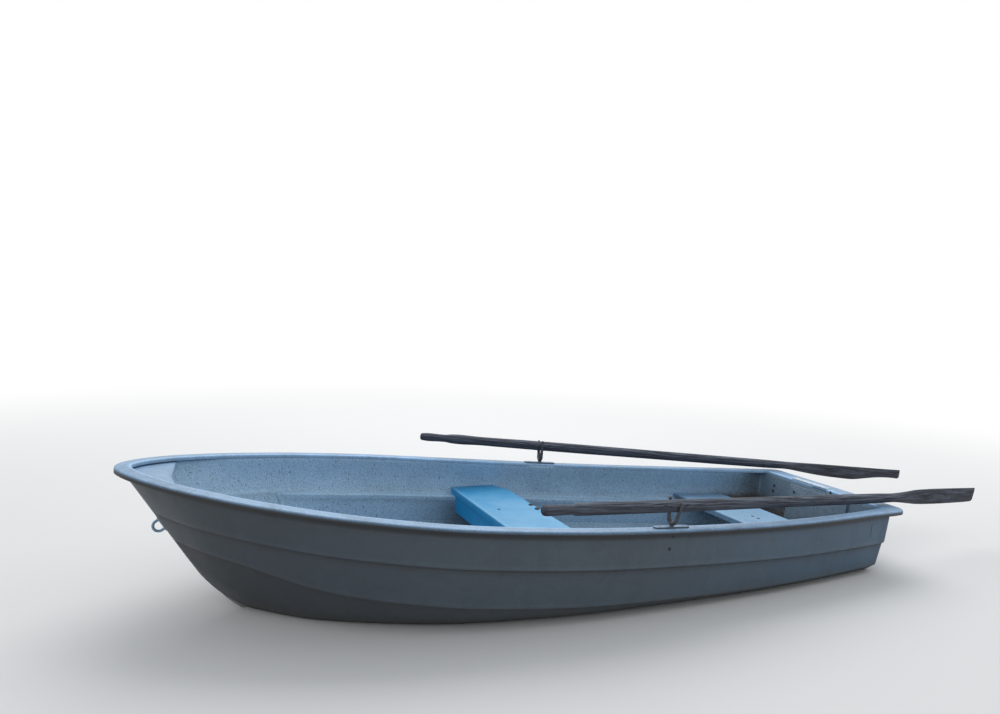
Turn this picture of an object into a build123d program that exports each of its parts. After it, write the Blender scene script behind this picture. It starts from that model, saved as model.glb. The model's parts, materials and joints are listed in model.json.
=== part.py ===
from build123d import *
import os
from collections import namedtuple
from math import atan2, cos, degrees, hypot, radians, sin, tan

os.makedirs("parts", exist_ok=True)

# Open moulded rowing boat with two laps a side. Millimetres, +X forward, +Y port, +Z up.
# The origin lies amidships, on the centre plane and on the waterline.

# Hull. Places along it are measured from the stern rim's aft edge, the sheer is the rim's top.
hull_length = 3186.0
half_beam = 606.0
sheer_aft = 295.0
sheer_rise = 248.0
sheer_even_share = 0.23
keel_depth = 60.0
keel_half_width = 14.0
transom_rake = 105.0
stem_lean = 0.66
forefoot_radius = 520.0
station_spacing = 180.0
lap1_drop = 149.0
lap2_drop = 300.0
lap_step = 12.0
lap_ramp = 8.0
wall = 6.0
transom_wall = 30.0
corner_radius = 50.0
bow_block = 60.0
joint_aft_share = 0.33
joint_fore_share = 0.61
seat_gap = 0.3
fit_gap = 0.6

# Gunwale rim, measured from the outside of the skin
rim_outside = 14.0
rim_inside = 42.0
rim_thickness = 8.0
rim_depth = 20.0
rim_inner_depth = 15.0
rim_wall = 6.0
rim_round = 5.0

# Inside
riser_drop = 164.0
riser_width = 42.0
riser_edge = 16.0
riser_height = 84.0
riser_end = 2640.0
thwart_aft = 1508.0
thwart_width = 255.0
thwart_height = 251.0
thwart_skirt = 105.0
thwart_wall = 6.0
thwart_round = 14.0
thwart_cut_along = 45.0
thwart_cut_across = 130.0
bench_aft = 278.0
bench_width = 280.0
bench_thickness = 28.0
bench_round = 6.0
floor_height = -18.0
floor_thickness = 10.0
floor_end = 2330.0
breasthook_length = 170.0
breasthook_thickness = 18.0

# Fittings
keel_strip_width = 22.0
keel_strip_height = 14.0
keel_strip_end = 0.95
clamp_strip_half_length = 118.0
clamp_strip_offset = -75.0
clamp_strip_width = 34.0
clamp_strip_thickness = 3.0
pad_half_width = 190.0
pad_height = 200.0
pad_thickness = 12.0
drain_radius = 11.0
drain_height = 60.0
plug_flange_radius = 18.0
plug_flange = 4.0
bow_eye_height = 330.0
bow_eye_rod = 5.0
bow_eye_half_span = 19.0
bow_eye_reach = 32.0
bow_eye_plate = 3.0
bow_eye_plate_width = 16.0
bow_eye_plate_height = 58.0

# Rowlocks
rowlock_x = 1307.0
pin_lean = 7.0
pin_inset = 20.0
plate_length = 160.0
plate_width = 26.0
plate_thickness = 5.0
socket_radius = 11.0
socket_depth = 42.0
socket_rise = 2.0
leg_width = 24.0
leg_thickness = 5.0
leg_gap = 0.4
leg_top = 20.0
leg_foot = 110.0
pin_radius = 6.0
pin_clearance = 0.1
pin_tail = 50.0
collar_radius = 9.0
collar_height = 4.0
horn_height = 84.0
horn_rod = 5.5
horn_arm = 22.0
horn_ball = 7.5
horn_seat = 0.6
rod_sides = 8
rod_bends = 8

# Oars, with the distance from the horn to the blade's tip
loom_radius = 22.5
oar_length = 2750.0
oar_outboard = 2146.0
grip_length = 130.0
grip_radius = 18.0
blade_length = 700.0
blade_tip_thickness = 9.0
blade_roundness = 0.49
oar_clearance = 5.0

# Rows of the hull, each in a plane across the boat that leans with the transom aft and with the
# stem forward. Columns: place of the sheer as a share of the length, place of the foot as a share
# of the keel and forefoot, half width at the sheer, widths of both laps and of the bilge as shares
# of it, share of the lower lap's drop, bilge height as a share of the depth, share of the step.
Station = namedtuple("Station", "sheer foot beam lap1 lap2 bilge drop lift step")
rows = [
    Station(0.018, 0.000, 0.697, 0.985, 0.920, 0.72, 0.86, 0.095, 1.0),
    Station(0.176, 0.171, 0.840, 0.975, 0.908, 0.71, 0.90, 0.095, 1.0),
    Station(0.361, 0.366, 0.940, 0.963, 0.895, 0.70, 0.955, 0.092, 1.0),
    Station(0.549, 0.564, 0.997, 0.958, 0.876, 0.69, 1.00, 0.092, 1.0),
    Station(0.706, 0.715, 0.948, 0.943, 0.842, 0.62, 1.01, 0.095, 1.0),
    Station(0.829, 0.824, 0.760, 0.925, 0.808, 0.50, 0.97, 0.110, 1.0),
    Station(0.910, 0.886, 0.536, 0.885, 0.765, 0.42, 0.86, 0.140, 0.9),
    Station(0.957, 0.933, 0.345, 0.820, 0.680, 0.40, 0.84, 0.170, 0.7),
    Station(0.982, 0.966, 0.190, 0.740, 0.590, 0.42, 0.84, 0.190, 0.4),
    Station(0.990, 0.981, 0.119, 0.720, 0.600, 0.46, 0.84, 0.195, 0.2),
    Station(0.9955, 0.993, 0.035, 0.700, 0.620, 0.50, 0.84, 0.200, 0.1),
]


def faired(rows):
    """The rows with others between them, so that every column runs on a smooth curve."""
    gaps = [after.sheer - before.sheer for before, after in zip(rows, rows[1:])]
    rates = [
        [(high - low) / gap for low, high in zip(before, after)]
        for before, after, gap in zip(rows, rows[1:], gaps)
    ]
    slopes = [
        [
            (low * gaps[i + 1] + high * gaps[i]) / (gaps[i] + gaps[i + 1])
            for low, high in zip(rates[i], rates[i + 1])
        ]
        for i in range(len(rates) - 1)
    ]
    slopes.insert(0, [2 * rate - slope for rate, slope in zip(rates[0], slopes[0])])
    slopes.append([2 * rate - slope for rate, slope in zip(rates[-1], slopes[-1])])
    result = []
    for i, gap in enumerate(gaps):
        parts = max(1, round(gap * hull_length / station_spacing))
        for part in range(parts):
            t = part / parts
            values = zip(rows[i], rows[i + 1], slopes[i], slopes[i + 1])
            result.append(
                Station(
                    *[
                        low * (1 + 2 * t) * (1 - t) ** 2
                        + high * t * t * (3 - 2 * t)
                        + gap * (rise * t * (1 - t) ** 2 - fall * t * t * (1 - t))
                        for low, high, rise, fall in values
                    ]
                )
            )
    return result + [rows[-1]]


stations = faired(rows)


def sheer_height(along):
    """Height of the sheer at a distance from the stern: partly even, partly quadratic."""
    share = along / hull_length
    return sheer_aft + sheer_rise * (sheer_even_share * share + (1 - sheer_even_share) * share**2)


def foot_point(share):
    """Place and height of a share of the profile, which is the keel line and the forefoot's arc."""
    full_turn = atan2(1, stem_lean)
    stem_head = hull_length - rim_outside
    crossing = stem_head - stem_lean * (sheer_height(stem_head) + keel_depth)
    arc_start = crossing - forefoot_radius * tan(full_turn / 2)
    straight = arc_start - transom_rake
    reach = share * (straight + forefoot_radius * full_turn)
    if reach <= straight:
        return transom_rake + reach, -keel_depth
    angle = (reach - straight) / forefoot_radius
    return arc_start + forefoot_radius * sin(angle), -keel_depth + forefoot_radius * (1 - cos(angle))


def station_plane(station, shift=0):
    """Plane of a station, its X across the boat and its Y up along the lean, and its slant."""
    along, low = foot_point(station.foot)
    sheer_along = station.sheer * hull_length
    rise = sheer_height(sheer_along) - low
    normal = (rise, 0, along - sheer_along)
    origin = (along + shift - hull_length / 2, 0, low)
    return Plane(origin=origin, x_dir=(0, 1, 0), z_dir=normal), hypot(rise, along - sheer_along) / rise


def place_at(station, height):
    """Place along the boat where a station's plane has a height."""
    along, low = foot_point(station.foot)
    sheer_along = station.sheer * hull_length
    share = (height - low) / (sheer_height(sheer_along) - low)
    return along + (sheer_along - along) * share - hull_length / 2


def half_outline(station, inset, top):
    """Half section from the sheer to the keel as pairs of half width and height."""
    low = foot_point(station.foot)[1]
    sheer = sheer_height(station.sheer * hull_length)
    side = station.beam * half_beam
    flare = side - keel_half_width
    step = lap_step * station.step
    lap1 = keel_half_width + flare * station.lap1
    lap2 = keel_half_width + flare * station.lap2
    lap1_height = sheer - lap1_drop
    lap2_height = sheer - lap2_drop * station.drop
    lap_foot = (lap2 - step, lap2_height - lap_ramp)
    turn = (keel_half_width + flare * station.bilge, low + (sheer - low) * station.lift)
    keel = (keel_half_width, low)
    upper = (0.5 * (lap_foot[0] + turn[0]), 0.5 * (lap_foot[1] + turn[1]))
    lower = (0.6 * turn[0] + 0.4 * keel[0], 0.6 * turn[1] + 0.4 * keel[1])
    middle = (0.25 * (upper[0] + lower[0] + 2 * turn[0]), 0.25 * (upper[1] + lower[1] + 2 * turn[1]))
    return [
        (side + (side - lap1) * top / lap1_drop - inset, sheer + top),
        (lap1 - inset, lap1_height),
        (lap1 - step - inset, lap1_height - lap_ramp),
        (lap2 - inset, lap2_height),
        (lap_foot[0] - inset, lap_foot[1]),
        (upper[0] - inset, upper[1]),
        (middle[0] - 0.6 * inset, middle[1] + 0.8 * inset),
        (lower[0], lower[1] + inset),
        (keel[0], keel[1] + inset),
    ]


def width_at(station, height, inset):
    """Half width of a section at a height, on the outline that inset gives."""
    outline = half_outline(station, inset, 0)
    for (outer, upper), (inner, lower) in zip(outline, outline[1:]):
        if upper >= height >= lower:
            return inner + (outer - inner) * (height - lower) / (upper - lower)
    return outline[0][0]


def hull_section(station, points, shift=0):
    """Closed outline in a station's plane, from pairs of width and height."""
    plane, slant = station_plane(station, shift)
    low = foot_point(station.foot)[1]
    with BuildSketch(plane) as outline:
        with BuildLine():
            Polyline([(across, (height - low) * slant) for across, height in points], close=True)
        make_face()
    return outline.sketch


def whole(half):
    """A half outline with its mirror image."""
    return half + [(-across, height) for across, height in reversed(half)]


def lofted(points_of, chosen, start=0):
    """Solid through the outlines of the chosen stations, with a straight stretch before the first."""
    sections = [hull_section(station, points_of(station)) for station in chosen]
    if start:
        sections.insert(0, hull_section(chosen[0], points_of(chosen[0]), start))
    with BuildPart() as form:
        loft(sections=sections, ruled=True)
    return form.part


def hull_form(chosen, inset, top, start=0):
    """Solid body inside the outlines of the chosen stations, inset by a wall."""
    return lofted(lambda station: whole(half_outline(station, inset, top)), chosen, start)


def save(part, name):
    """Names a finished piece and writes it."""
    part.label = name
    export_step(part, f"parts/{name}.step")


# Sheer line, seen from above
def sheer_point(station):
    """Point of the port skin at the sheer."""
    along = station.sheer * hull_length
    return Vector(along - hull_length / 2, station.beam * half_beam, sheer_height(along))


nose_along = hull_length - rim_outside
nose = Vector(nose_along - hull_length / 2, 0, sheer_height(nose_along))
sheer_points = [sheer_point(station) for station in stations] + [nose]
stern_angle = atan2(sheer_points[1].Y - sheer_points[0].Y, sheer_points[1].X - sheer_points[0].X)
corner_depth = corner_radius * (1 - sin(stern_angle))
transom_inside = transom_wall - corner_depth
skin_top = -rim_thickness - seat_gap
hollow_stations = [station for station in stations if station.beam * half_beam > bow_block]


def outward_of(before, after):
    """Level direction out of the port side between two points of the sheer."""
    return Vector(before.Y - after.Y, after.X - before.X, 0).normalized()


def sheer_at(place):
    """Point of the sheer at a place along the boat, its bay's number and its share of the bay."""
    number = max(i for i, point in enumerate(sheer_points) if point.X <= place)
    start, end = sheer_points[number], sheer_points[number + 1]
    share = (place - start.X) / (end.X - start.X)
    return start + (end - start) * share, number, share


# Rowlock places: on the rim's top, the plate's normal across the sheer, the pin leaned outboard
pin_x = rowlock_x - hull_length / 2
pin_sheer, bay, bay_share = sheer_at(pin_x)
sheer_run = (sheer_points[bay + 1] - sheer_points[bay]).normalized()
outboard = outward_of(sheer_points[bay], sheer_points[bay + 1])
rim_normal = sheer_run.cross(outboard)
pin_foot = pin_sheer - outboard * pin_inset
pin_axis = rim_normal * cos(radians(pin_lean)) + outboard * sin(radians(pin_lean))
plate_plane = Plane(origin=pin_foot, x_dir=sheer_run, z_dir=rim_normal)
pin_plane = Plane(origin=pin_foot, x_dir=sheer_run, z_dir=pin_axis)
pin_planes = {
    1: pin_plane,
    -1: Plane(
        origin=(pin_foot.X, -pin_foot.Y, pin_foot.Z),
        x_dir=(sheer_run.X, -sheer_run.Y, sheer_run.Z),
        z_dir=(pin_axis.X, -pin_axis.Y, pin_axis.Z),
    ),
}


# Hull moulding, in panels that meet face to face.
# Columns of the bands: name, first and last point of the outline
Band = namedtuple("Band", "name first last")
bands = [Band("upper_strake", 0, 2), Band("lower_strake", 2, 4), Band("bottom", 4, 8)]

# Columns of the stretches: name, first and last hollow station
Stretch = namedtuple("Stretch", "name first last")
joint_aft = round(len(hollow_stations) * joint_aft_share)
joint_fore = round(len(hollow_stations) * joint_fore_share)
stretches = [
    Stretch("aft", 0, joint_aft),
    Stretch("middle", joint_aft, joint_fore),
    Stretch("fore", joint_fore, len(hollow_stations) - 1),
]

sides = {"port": 1, "starboard": -1}


def band_points(station, band, side):
    """Outline of a band on one side, along the outside of the moulding and back along its inside."""
    outer = half_outline(station, 0, skin_top)[band.first : band.last + 1]
    inner = half_outline(station, wall, skin_top)[band.first : band.last + 1]
    if band is bands[-1]:
        outer.append((0, outer[-1][1]))
        inner.append((0, inner[-1][1]))
    return [(side * across, height) for across, height in outer + inner[::-1]]


for band in bands:
    for stretch in stretches:
        chosen = hollow_stations[stretch.first : stretch.last + 1]
        for name, side in sides.items():
            panel = lofted(lambda station: band_points(station, band, side), chosen)
            save(panel, f"{band.name}_{stretch.name}_{name}")

save(hull_form(stations[len(hollow_stations) - 1 :], 0, skin_top), "stem")


# Transom with rounded corners
def stern_section(turn):
    """Section of the rounded stern at an angle of its corner, from 0 at the side to 90 aft."""
    narrowing = 1 - corner_radius * (1 - cos(radians(turn))) / (stations[0].beam * half_beam)
    narrowed = [(across * narrowing, height) for across, height in half_outline(stations[0], 0, skin_top)]
    return hull_section(stations[0], whole(narrowed), -corner_depth * sin(radians(turn)))


corner_turns = (0, 25, 45, 65, 80, 90)
transom_face = station_plane(stations[0], -corner_depth)[0]
with BuildPart() as transom:
    loft(sections=[stern_section(turn) for turn in corner_turns], ruled=True)
    add(hull_form(stations[:2], wall, 2 * rim_depth, transom_inside), mode=Mode.SUBTRACT)
    with BuildSketch(transom_face):
        with Locations((0, drain_height)):
            Circle(drain_radius)
    extrude(amount=2 * transom_wall, both=True, mode=Mode.SUBTRACT)
save(transom.part, "transom")


# Gunwale rim
def rim_section(plane):
    """Rolled rim in a plane whose X points outboard and whose Y points up."""
    with BuildSketch(plane) as outline:
        with BuildLine():
            Polyline(
                (-rim_inside, -rim_inner_depth),
                (-rim_inside + rim_wall, -rim_inner_depth),
                (-rim_inside + rim_wall, -rim_thickness),
                (rim_outside - rim_wall, -rim_thickness),
                (rim_outside - rim_wall, -rim_depth),
                (rim_outside, -rim_depth),
                (rim_outside, -rim_round),
                (rim_outside - rim_round, 0),
                (-rim_inside + rim_round, 0),
                (-rim_inside, -rim_round),
                close=True,
            )
        make_face()
    return outline.sketch


def sheer_plane(number):
    """Upright plane across the sheer at a station, X outboard."""
    here = sheer_points[number]
    if number == len(sheer_points) - 1:
        outward = Vector(1, 0, 0)
    else:
        outward = outward_of(sheer_points[max(number - 1, 0)], sheer_points[number + 1])
    return Plane(origin=here, x_dir=outward, z_dir=outward.cross(Vector(0, 0, 1)))


with BuildPart() as rim_side:
    loft(sections=[rim_section(sheer_plane(i)) for i in range(len(sheer_points))], ruled=True)

corner_plane = sheer_plane(0)
corner_centre = corner_plane.origin - corner_plane.x_dir * corner_radius
corner_turn = 90 - degrees(stern_angle)
with BuildPart() as rim_corner:
    revolve(rim_section(corner_plane), axis=Axis(corner_centre, (0, 0, 1)), revolution_arc=corner_turn)

stern_point = Vector(corner_centre.X - corner_radius, 0, corner_plane.origin.Z)
stern_section_plane = Plane(origin=stern_point, x_dir=(-1, 0, 0), z_dir=(0, 1, 0))
with BuildPart() as rim_stern:
    extrude(rim_section(stern_section_plane), amount=corner_centre.Y)

with BuildPart() as rim:
    add(rim_side.part)
    with BuildSketch(pin_plane):
        Circle(socket_radius + seat_gap)
    extrude(amount=2 * socket_depth, both=True, mode=Mode.SUBTRACT)
save(rim.part, "gunwale_rim_port")
save(mirror(rim.part, about=Plane.XZ), "gunwale_rim_starboard")

with BuildPart() as stern_rim:
    add(rim_corner.part)
    add(rim_stern.part)
    mirror(about=Plane.XZ)
save(stern_rim.part, "gunwale_rim_stern")

# Seat risers, a moulded ledge along each side
riser_stations = [station for station in stations if station.sheer * hull_length <= riser_end]


def riser_form(points_of, side):
    """Body along the inside of the skin, from pairs of half width and height at each station."""
    return lofted(
        lambda station: [(side * across, height) for across, height in points_of(station)],
        riser_stations,
        transom_inside + seat_gap,
    )


def riser_points(station):
    """Ledge with a sloping underside."""
    shelf = sheer_height(station.sheer * hull_length) - riser_drop
    foot = shelf - riser_height
    outer = width_at(station, shelf, wall + seat_gap)
    heel = width_at(station, foot, wall + seat_gap)
    edge = outer - riser_width
    return [(outer, shelf), (edge, shelf), (edge, shelf - riser_edge), (heel, foot)]


def riser_room(station):
    """Room that a seat leaves for the ledge below it."""
    shelf = sheer_height(station.sheer * hull_length) - riser_drop + seat_gap
    inner = width_at(station, shelf, wall + seat_gap) - riser_width - fit_gap
    foot = shelf - 2 * riser_height
    return [(half_beam, shelf), (inner, shelf), (inner, foot), (half_beam, foot)]


for name, side in sides.items():
    save(riser_form(riser_points, side), f"riser_{name}")

# Clear space inside the hull, which the seats and the floor are trimmed to
inside = hull_form(hollow_stations, wall + fit_gap, 0, transom_inside + fit_gap)


def shelf_at(place):
    """Height of the ledge's top at a place along the boat, on its straight runs between stations."""
    heights = [sheer_height(station.sheer * hull_length) - riser_drop for station in riser_stations]
    places = [place_at(station, height) for station, height in zip(riser_stations, heights)]
    number = max(i for i, along in enumerate(places[:-1]) if along <= place or i == 0)
    share = (place - places[number]) / (places[number + 1] - places[number])
    return heights[number] + (heights[number + 1] - heights[number]) * share


def seat_profile(aft, fore, top_aft, top_fore, depth, corner):
    """Side view of a seat with rounded top edges, on the centre plane."""
    rise = atan2(top_fore - top_aft, fore - aft)
    along = Plane(origin=(aft, 0, top_aft), x_dir=(cos(rise), 0, sin(rise)), z_dir=(0, -1, 0))
    with BuildSketch(along) as outline:
        with Locations(((fore - aft) / cos(rise) / 2, -depth / 2)):
            Rectangle((fore - aft) / cos(rise), depth)
        fillet(outline.vertices().group_by(Axis.Y)[-1], radius=corner)
    return outline.sketch


# Thwart: moulded box, open below, with its ends on the ledges
thwart_start = thwart_aft - hull_length / 2
thwart_fore = thwart_start + thwart_width
thwart_half = sheer_at(thwart_start)[0].Y
with BuildPart() as thwart:
    extrude(
        seat_profile(thwart_start, thwart_fore, thwart_height, thwart_height, thwart_skirt, thwart_round),
        amount=half_beam,
        both=True,
    )
    extrude(
        seat_profile(
            thwart_start + thwart_wall,
            thwart_fore - thwart_wall,
            thwart_height - thwart_wall,
            thwart_height - thwart_wall,
            thwart_skirt,
            thwart_round - thwart_wall,
        ),
        amount=half_beam - 2 * riser_width,
        both=True,
        mode=Mode.SUBTRACT,
    )
    add(inside, mode=Mode.INTERSECT)
    for side in sides.values():
        add(riser_form(riser_room, side), mode=Mode.SUBTRACT)
    with BuildSketch(Plane.XY.offset(thwart_height)):
        for side in sides.values():
            end = side * thwart_half
            with BuildLine():
                Polyline(
                    (thwart_start, end - side * thwart_cut_across),
                    (thwart_start, end),
                    (thwart_start + thwart_cut_along, end),
                    close=True,
                )
            make_face()
    extrude(amount=-thwart_height, mode=Mode.SUBTRACT)
save(thwart.part, "thwart")

# Stern bench: slab across both ledges
bench_start = bench_aft - hull_length / 2
bench_fore = bench_start + bench_width
with BuildPart() as bench:
    extrude(
        seat_profile(
            bench_start,
            bench_fore,
            shelf_at(bench_start) + seat_gap + bench_thickness,
            shelf_at(bench_fore) + seat_gap + bench_thickness,
            bench_thickness,
            bench_round,
        ),
        amount=half_beam,
        both=True,
    )
    add(inside, mode=Mode.INTERSECT)
save(bench.part, "stern_bench")

# Floor: flat sole between the bilges
with BuildPart() as floor:
    with BuildSketch(Plane.XY.offset(floor_height)):
        with Locations((floor_end / 2 - hull_length / 2, 0)):
            Rectangle(floor_end, 2 * half_beam)
    extrude(amount=floor_thickness)
    add(inside, mode=Mode.INTERSECT)
save(floor.part, "floor")

# Breasthook under the rim in the bow
hook_fore = hull_length / 2
hook_aft = sheer_point(hollow_stations[-1]).X - breasthook_length
hook_drop = rim_inner_depth + seat_gap
hook_top_aft, hook_top_fore = [
    (place, sheer_height(place + hull_length / 2) - hook_drop) for place in (hook_aft, hook_fore)
]
with BuildPart() as breasthook:
    with BuildSketch(Plane.XZ):
        with BuildLine():
            Polyline(
                hook_top_aft,
                hook_top_fore,
                (hook_fore, hook_top_fore[1] - breasthook_thickness),
                (hook_aft, hook_top_aft[1] - breasthook_thickness),
                close=True,
            )
        make_face()
    extrude(amount=half_beam, both=True)
    add(inside, mode=Mode.INTERSECT)
save(breasthook.part, "breasthook")

# Keel strip, from the transom up the forefoot
feet = [foot_point(station.foot) for station in stations if station.foot <= keel_strip_end]
feet[0] = (feet[0][0] - corner_depth, feet[0][1])


def under_keel(number, distance):
    """Point of the profile moved out by a distance."""
    along, low = feet[number]
    before, after = feet[max(number - 1, 0)], feet[min(number + 1, len(feet) - 1)]
    run = Vector(after[0] - before[0], after[1] - before[1]).normalized()
    return along - hull_length / 2 + distance * run.Y, low - distance * run.X


with BuildPart() as keel_strip:
    with BuildSketch(Plane.XZ):
        with BuildLine():
            upper_edge = [under_keel(i, seat_gap) for i in range(len(feet))]
            lower_edge = [under_keel(i, seat_gap + keel_strip_height) for i in range(len(feet))]
            Polyline(upper_edge + lower_edge[::-1], close=True)
        make_face()
    extrude(amount=keel_strip_width / 2, both=True)
save(keel_strip.part, "keel_strip")

# Transom pad inside and clamp strip on top
transom_slant = station_plane(stations[0])[1]
transom_height = (sheer_points[0].Z + keel_depth) * transom_slant
pad_top = transom_height - (rim_depth + rim_round) * transom_slant
with BuildPart() as pad:
    with BuildSketch(station_plane(stations[0], transom_inside)[0].offset(seat_gap)):
        with Locations((0, pad_top - pad_height / 2)):
            Rectangle(2 * pad_half_width, pad_height)
    extrude(amount=pad_thickness)
save(pad.part, "transom_pad")

with BuildPart() as clamp_strip:
    with BuildSketch(Plane.XY.offset(stern_point.Z + seat_gap)):
        with Locations((stern_point.X + (rim_inside - rim_outside) / 2, clamp_strip_offset)):
            Rectangle(clamp_strip_width, 2 * clamp_strip_half_length)
    extrude(amount=clamp_strip_thickness)
save(clamp_strip.part, "transom_clamp_strip")

# Drain plug in the transom
with BuildPart() as plug:
    with BuildSketch(transom_face.offset(-seat_gap)):
        with Locations((0, drain_height)):
            Circle(plug_flange_radius)
    extrude(amount=-plug_flange)
    with BuildSketch(transom_face.offset(-seat_gap)):
        with Locations((0, drain_height)):
            Circle(drain_radius - seat_gap)
    extrude(amount=transom_wall)
save(plug.part, "drain_plug")


def bent_rod(radius, arm):
    """Path of a U-shaped rod: two arms up, and straight bends around a half circle below them."""
    step = 180 / rod_bends
    corner = radius / cos(radians(step / 2))
    turns = [radians(180 + step * (bend + 0.5)) for bend in range(rod_bends)]
    return [(-radius, arm), *[(corner * cos(turn), corner * sin(turn)) for turn in turns], (radius, arm)]


# Bow eye on the stem
stem_plane, stem_slant = station_plane(stations[-1])
eye_up = (bow_eye_height - foot_point(stations[-1].foot)[1]) * stem_slant
with BuildPart() as bow_eye:
    with BuildSketch(stem_plane.offset(seat_gap)):
        with Locations((0, eye_up)):
            Rectangle(bow_eye_plate_width, bow_eye_plate_height)
    extrude(amount=bow_eye_plate)
    eye_base = Vector(stem_plane.from_local_coords((0, eye_up, seat_gap)))
    eye_arm = bow_eye_reach - bow_eye_half_span
    eye_centre = eye_base + stem_plane.z_dir * eye_arm
    eye_axes = Plane(origin=eye_centre, x_dir=stem_plane.y_dir, z_dir=-stem_plane.x_dir)
    eye_path = bent_rod(bow_eye_half_span, eye_arm - bow_eye_plate / 2)
    with BuildLine(eye_axes):
        Polyline(*eye_path)
    with BuildSketch(Plane(origin=eye_axes.from_local_coords((*eye_path[0], 0)), z_dir=stem_plane.z_dir)):
        RegularPolygon(bow_eye_rod, rod_sides)
    sweep(transition=Transition.RIGHT)
save(bow_eye.part, "bow_eye")

# Rowlock sockets: plate on the rim, tube through it and a leg on the inside of the skin
boss_top = seat_gap + plate_thickness + socket_rise


def skin_at_pin(point):
    """Point just inside the skin at the pin, of a numbered point of the outlines."""
    ends = [half_outline(station, wall + leg_gap, skin_top)[point] for station in stations[bay : bay + 2]]
    across, height = [a + (b - a) * bay_share for a, b in zip(*ends)]
    return Vector(pin_x, across, height)


skin_upper, skin_lower = skin_at_pin(0), skin_at_pin(1)
skin_down = (skin_lower - skin_upper).normalized()
leg_plane = Plane(origin=skin_upper, x_dir=sheer_run, z_dir=skin_down.cross(sheer_run))
with BuildPart() as socket:
    with BuildSketch(plate_plane.offset(seat_gap)):
        SlotOverall(plate_length, plate_width)
    extrude(amount=plate_thickness)
    with BuildSketch(pin_plane.offset(boss_top)):
        Circle(socket_radius)
    extrude(amount=-boss_top - socket_depth)
    with BuildSketch(leg_plane):
        with Locations((0, -(leg_top + leg_foot) / 2)):
            Rectangle(leg_width, leg_foot - leg_top)
    extrude(amount=leg_thickness)
    with BuildSketch(pin_plane.offset(boss_top)):
        Circle(pin_radius + pin_clearance)
    extrude(amount=-boss_top - 2 * socket_depth, mode=Mode.SUBTRACT)
save(socket.part, "rowlock_socket_port")
save(mirror(socket.part, about=Plane.XZ), "rowlock_socket_starboard")

# Horns and oars, which lie over the transom. Columns: name, side, distance of the blade's tip
# from the centre plane, blade's width at its tip, how far the tip's upper corner stands out
Oar = namedtuple("Oar", "name side tip_y tip_width slant")
oars = [Oar("port", 1, 181.0, 74.0, 22.0), Oar("starboard", -1, 283.0, 50.0, 4.0)]
horn_radius = loom_radius + horn_seat + horn_rod

# Rings of the ball on each arm's end. Columns: height and radius as shares of the ball's radius
Ring = namedtuple("Ring", "height radius")
ball_rings = [Ring(-0.8, 0.6), Ring(-0.35, 1.0), Ring(0.35, 1.0), Ring(0.8, 0.6)]

# Blade sections. Columns: share of the blade's length, width, thickness
Blade = namedtuple("Blade", "share width thickness")
blade_table = [
    Blade(0.0, 43.0, 43.0),
    Blade(0.14, 56.0, 30.0),
    Blade(0.32, 69.0, 21.0),
    Blade(0.6, 74.0, 14.0),
]

for oar in oars:
    plane = pin_planes[oar.side]
    centre = plane.origin + plane.z_dir * horn_height
    swing_in = (abs(centre.Y) - oar.tip_y) / oar_outboard
    level = Vector(-cos(swing_in), -oar.side * sin(swing_in), 0)
    run = (centre.X - stern_point.X + rim_outside) / cos(swing_in)
    drop = centre.Z - stern_point.Z - loom_radius - oar_clearance
    slope = atan2(drop, run)
    blade_way = level * cos(slope) + Vector(0, 0, -sin(slope))

    horn_way = (blade_way - plane.z_dir * blade_way.dot(plane.z_dir)).normalized()
    horn_plane = Plane(origin=centre, x_dir=plane.z_dir.cross(horn_way), z_dir=horn_way)
    shoulder = boss_top + seat_gap
    with BuildPart() as horn:
        with BuildSketch(plane.offset(-pin_tail)):
            Circle(pin_radius)
        extrude(amount=pin_tail + horn_height - horn_radius)
        with BuildSketch(plane.offset(shoulder)):
            Circle(collar_radius)
        extrude(amount=collar_height)
        horn_path = bent_rod(horn_radius, horn_arm)
        with BuildLine(horn_plane):
            Polyline(*horn_path)
        arm_end = horn_plane.from_local_coords((*horn_path[0], 0))
        with BuildSketch(Plane(origin=arm_end, x_dir=horn_plane.x_dir, z_dir=-plane.z_dir)):
            RegularPolygon(horn_rod, rod_sides)
        sweep(transition=Transition.RIGHT)
        for across, height in (horn_path[0], horn_path[-1]):
            ball_base = Plane(
                origin=horn_plane.from_local_coords((across, height, 0)),
                x_dir=horn_plane.x_dir,
                z_dir=plane.z_dir,
            )
            for ring in ball_rings:
                with BuildSketch(ball_base.offset(ring.height * horn_ball)):
                    RegularPolygon(ring.radius * horn_ball, rod_sides)
            loft(ruled=True)
    save(horn.part, f"rowlock_horn_{oar.name}")

    up = (Vector(0, 0, 1) - blade_way * blade_way.Z).normalized()
    loom_plane = Plane(origin=centre, x_dir=up, z_dir=blade_way)
    inboard = oar_length - oar_outboard
    slant = atan2(oar.slant, oar.tip_width)
    tip_plane = Plane(
        origin=centre + blade_way * (oar_outboard - oar.slant / 2),
        x_dir=up * cos(slant) + blade_way * sin(slant),
        z_dir=blade_way * cos(slant) - up * sin(slant),
    )
    with BuildPart() as loom:
        with BuildSketch(loom_plane.offset(grip_length - inboard)):
            Circle(loom_radius)
        extrude(amount=oar_outboard - blade_length + inboard - grip_length)
        with BuildSketch(loom_plane.offset(-inboard)):
            Circle(grip_radius)
        extrude(amount=grip_length)
    save(loom.part, f"oar_loom_{oar.name}")

    with BuildPart() as blade:
        for row in blade_table:
            with BuildSketch(loom_plane.offset(oar_outboard - blade_length * (1 - row.share))):
                RectangleRounded(row.width, row.thickness, blade_roundness * row.thickness)
        with BuildSketch(tip_plane):
            RectangleRounded(
                oar.tip_width / cos(slant),
                blade_tip_thickness,
                blade_roundness * blade_tip_thickness,
            )
        loft(ruled=True)
    save(blade.part, f"oar_blade_{oar.name}")
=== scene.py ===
import json
import math

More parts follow.
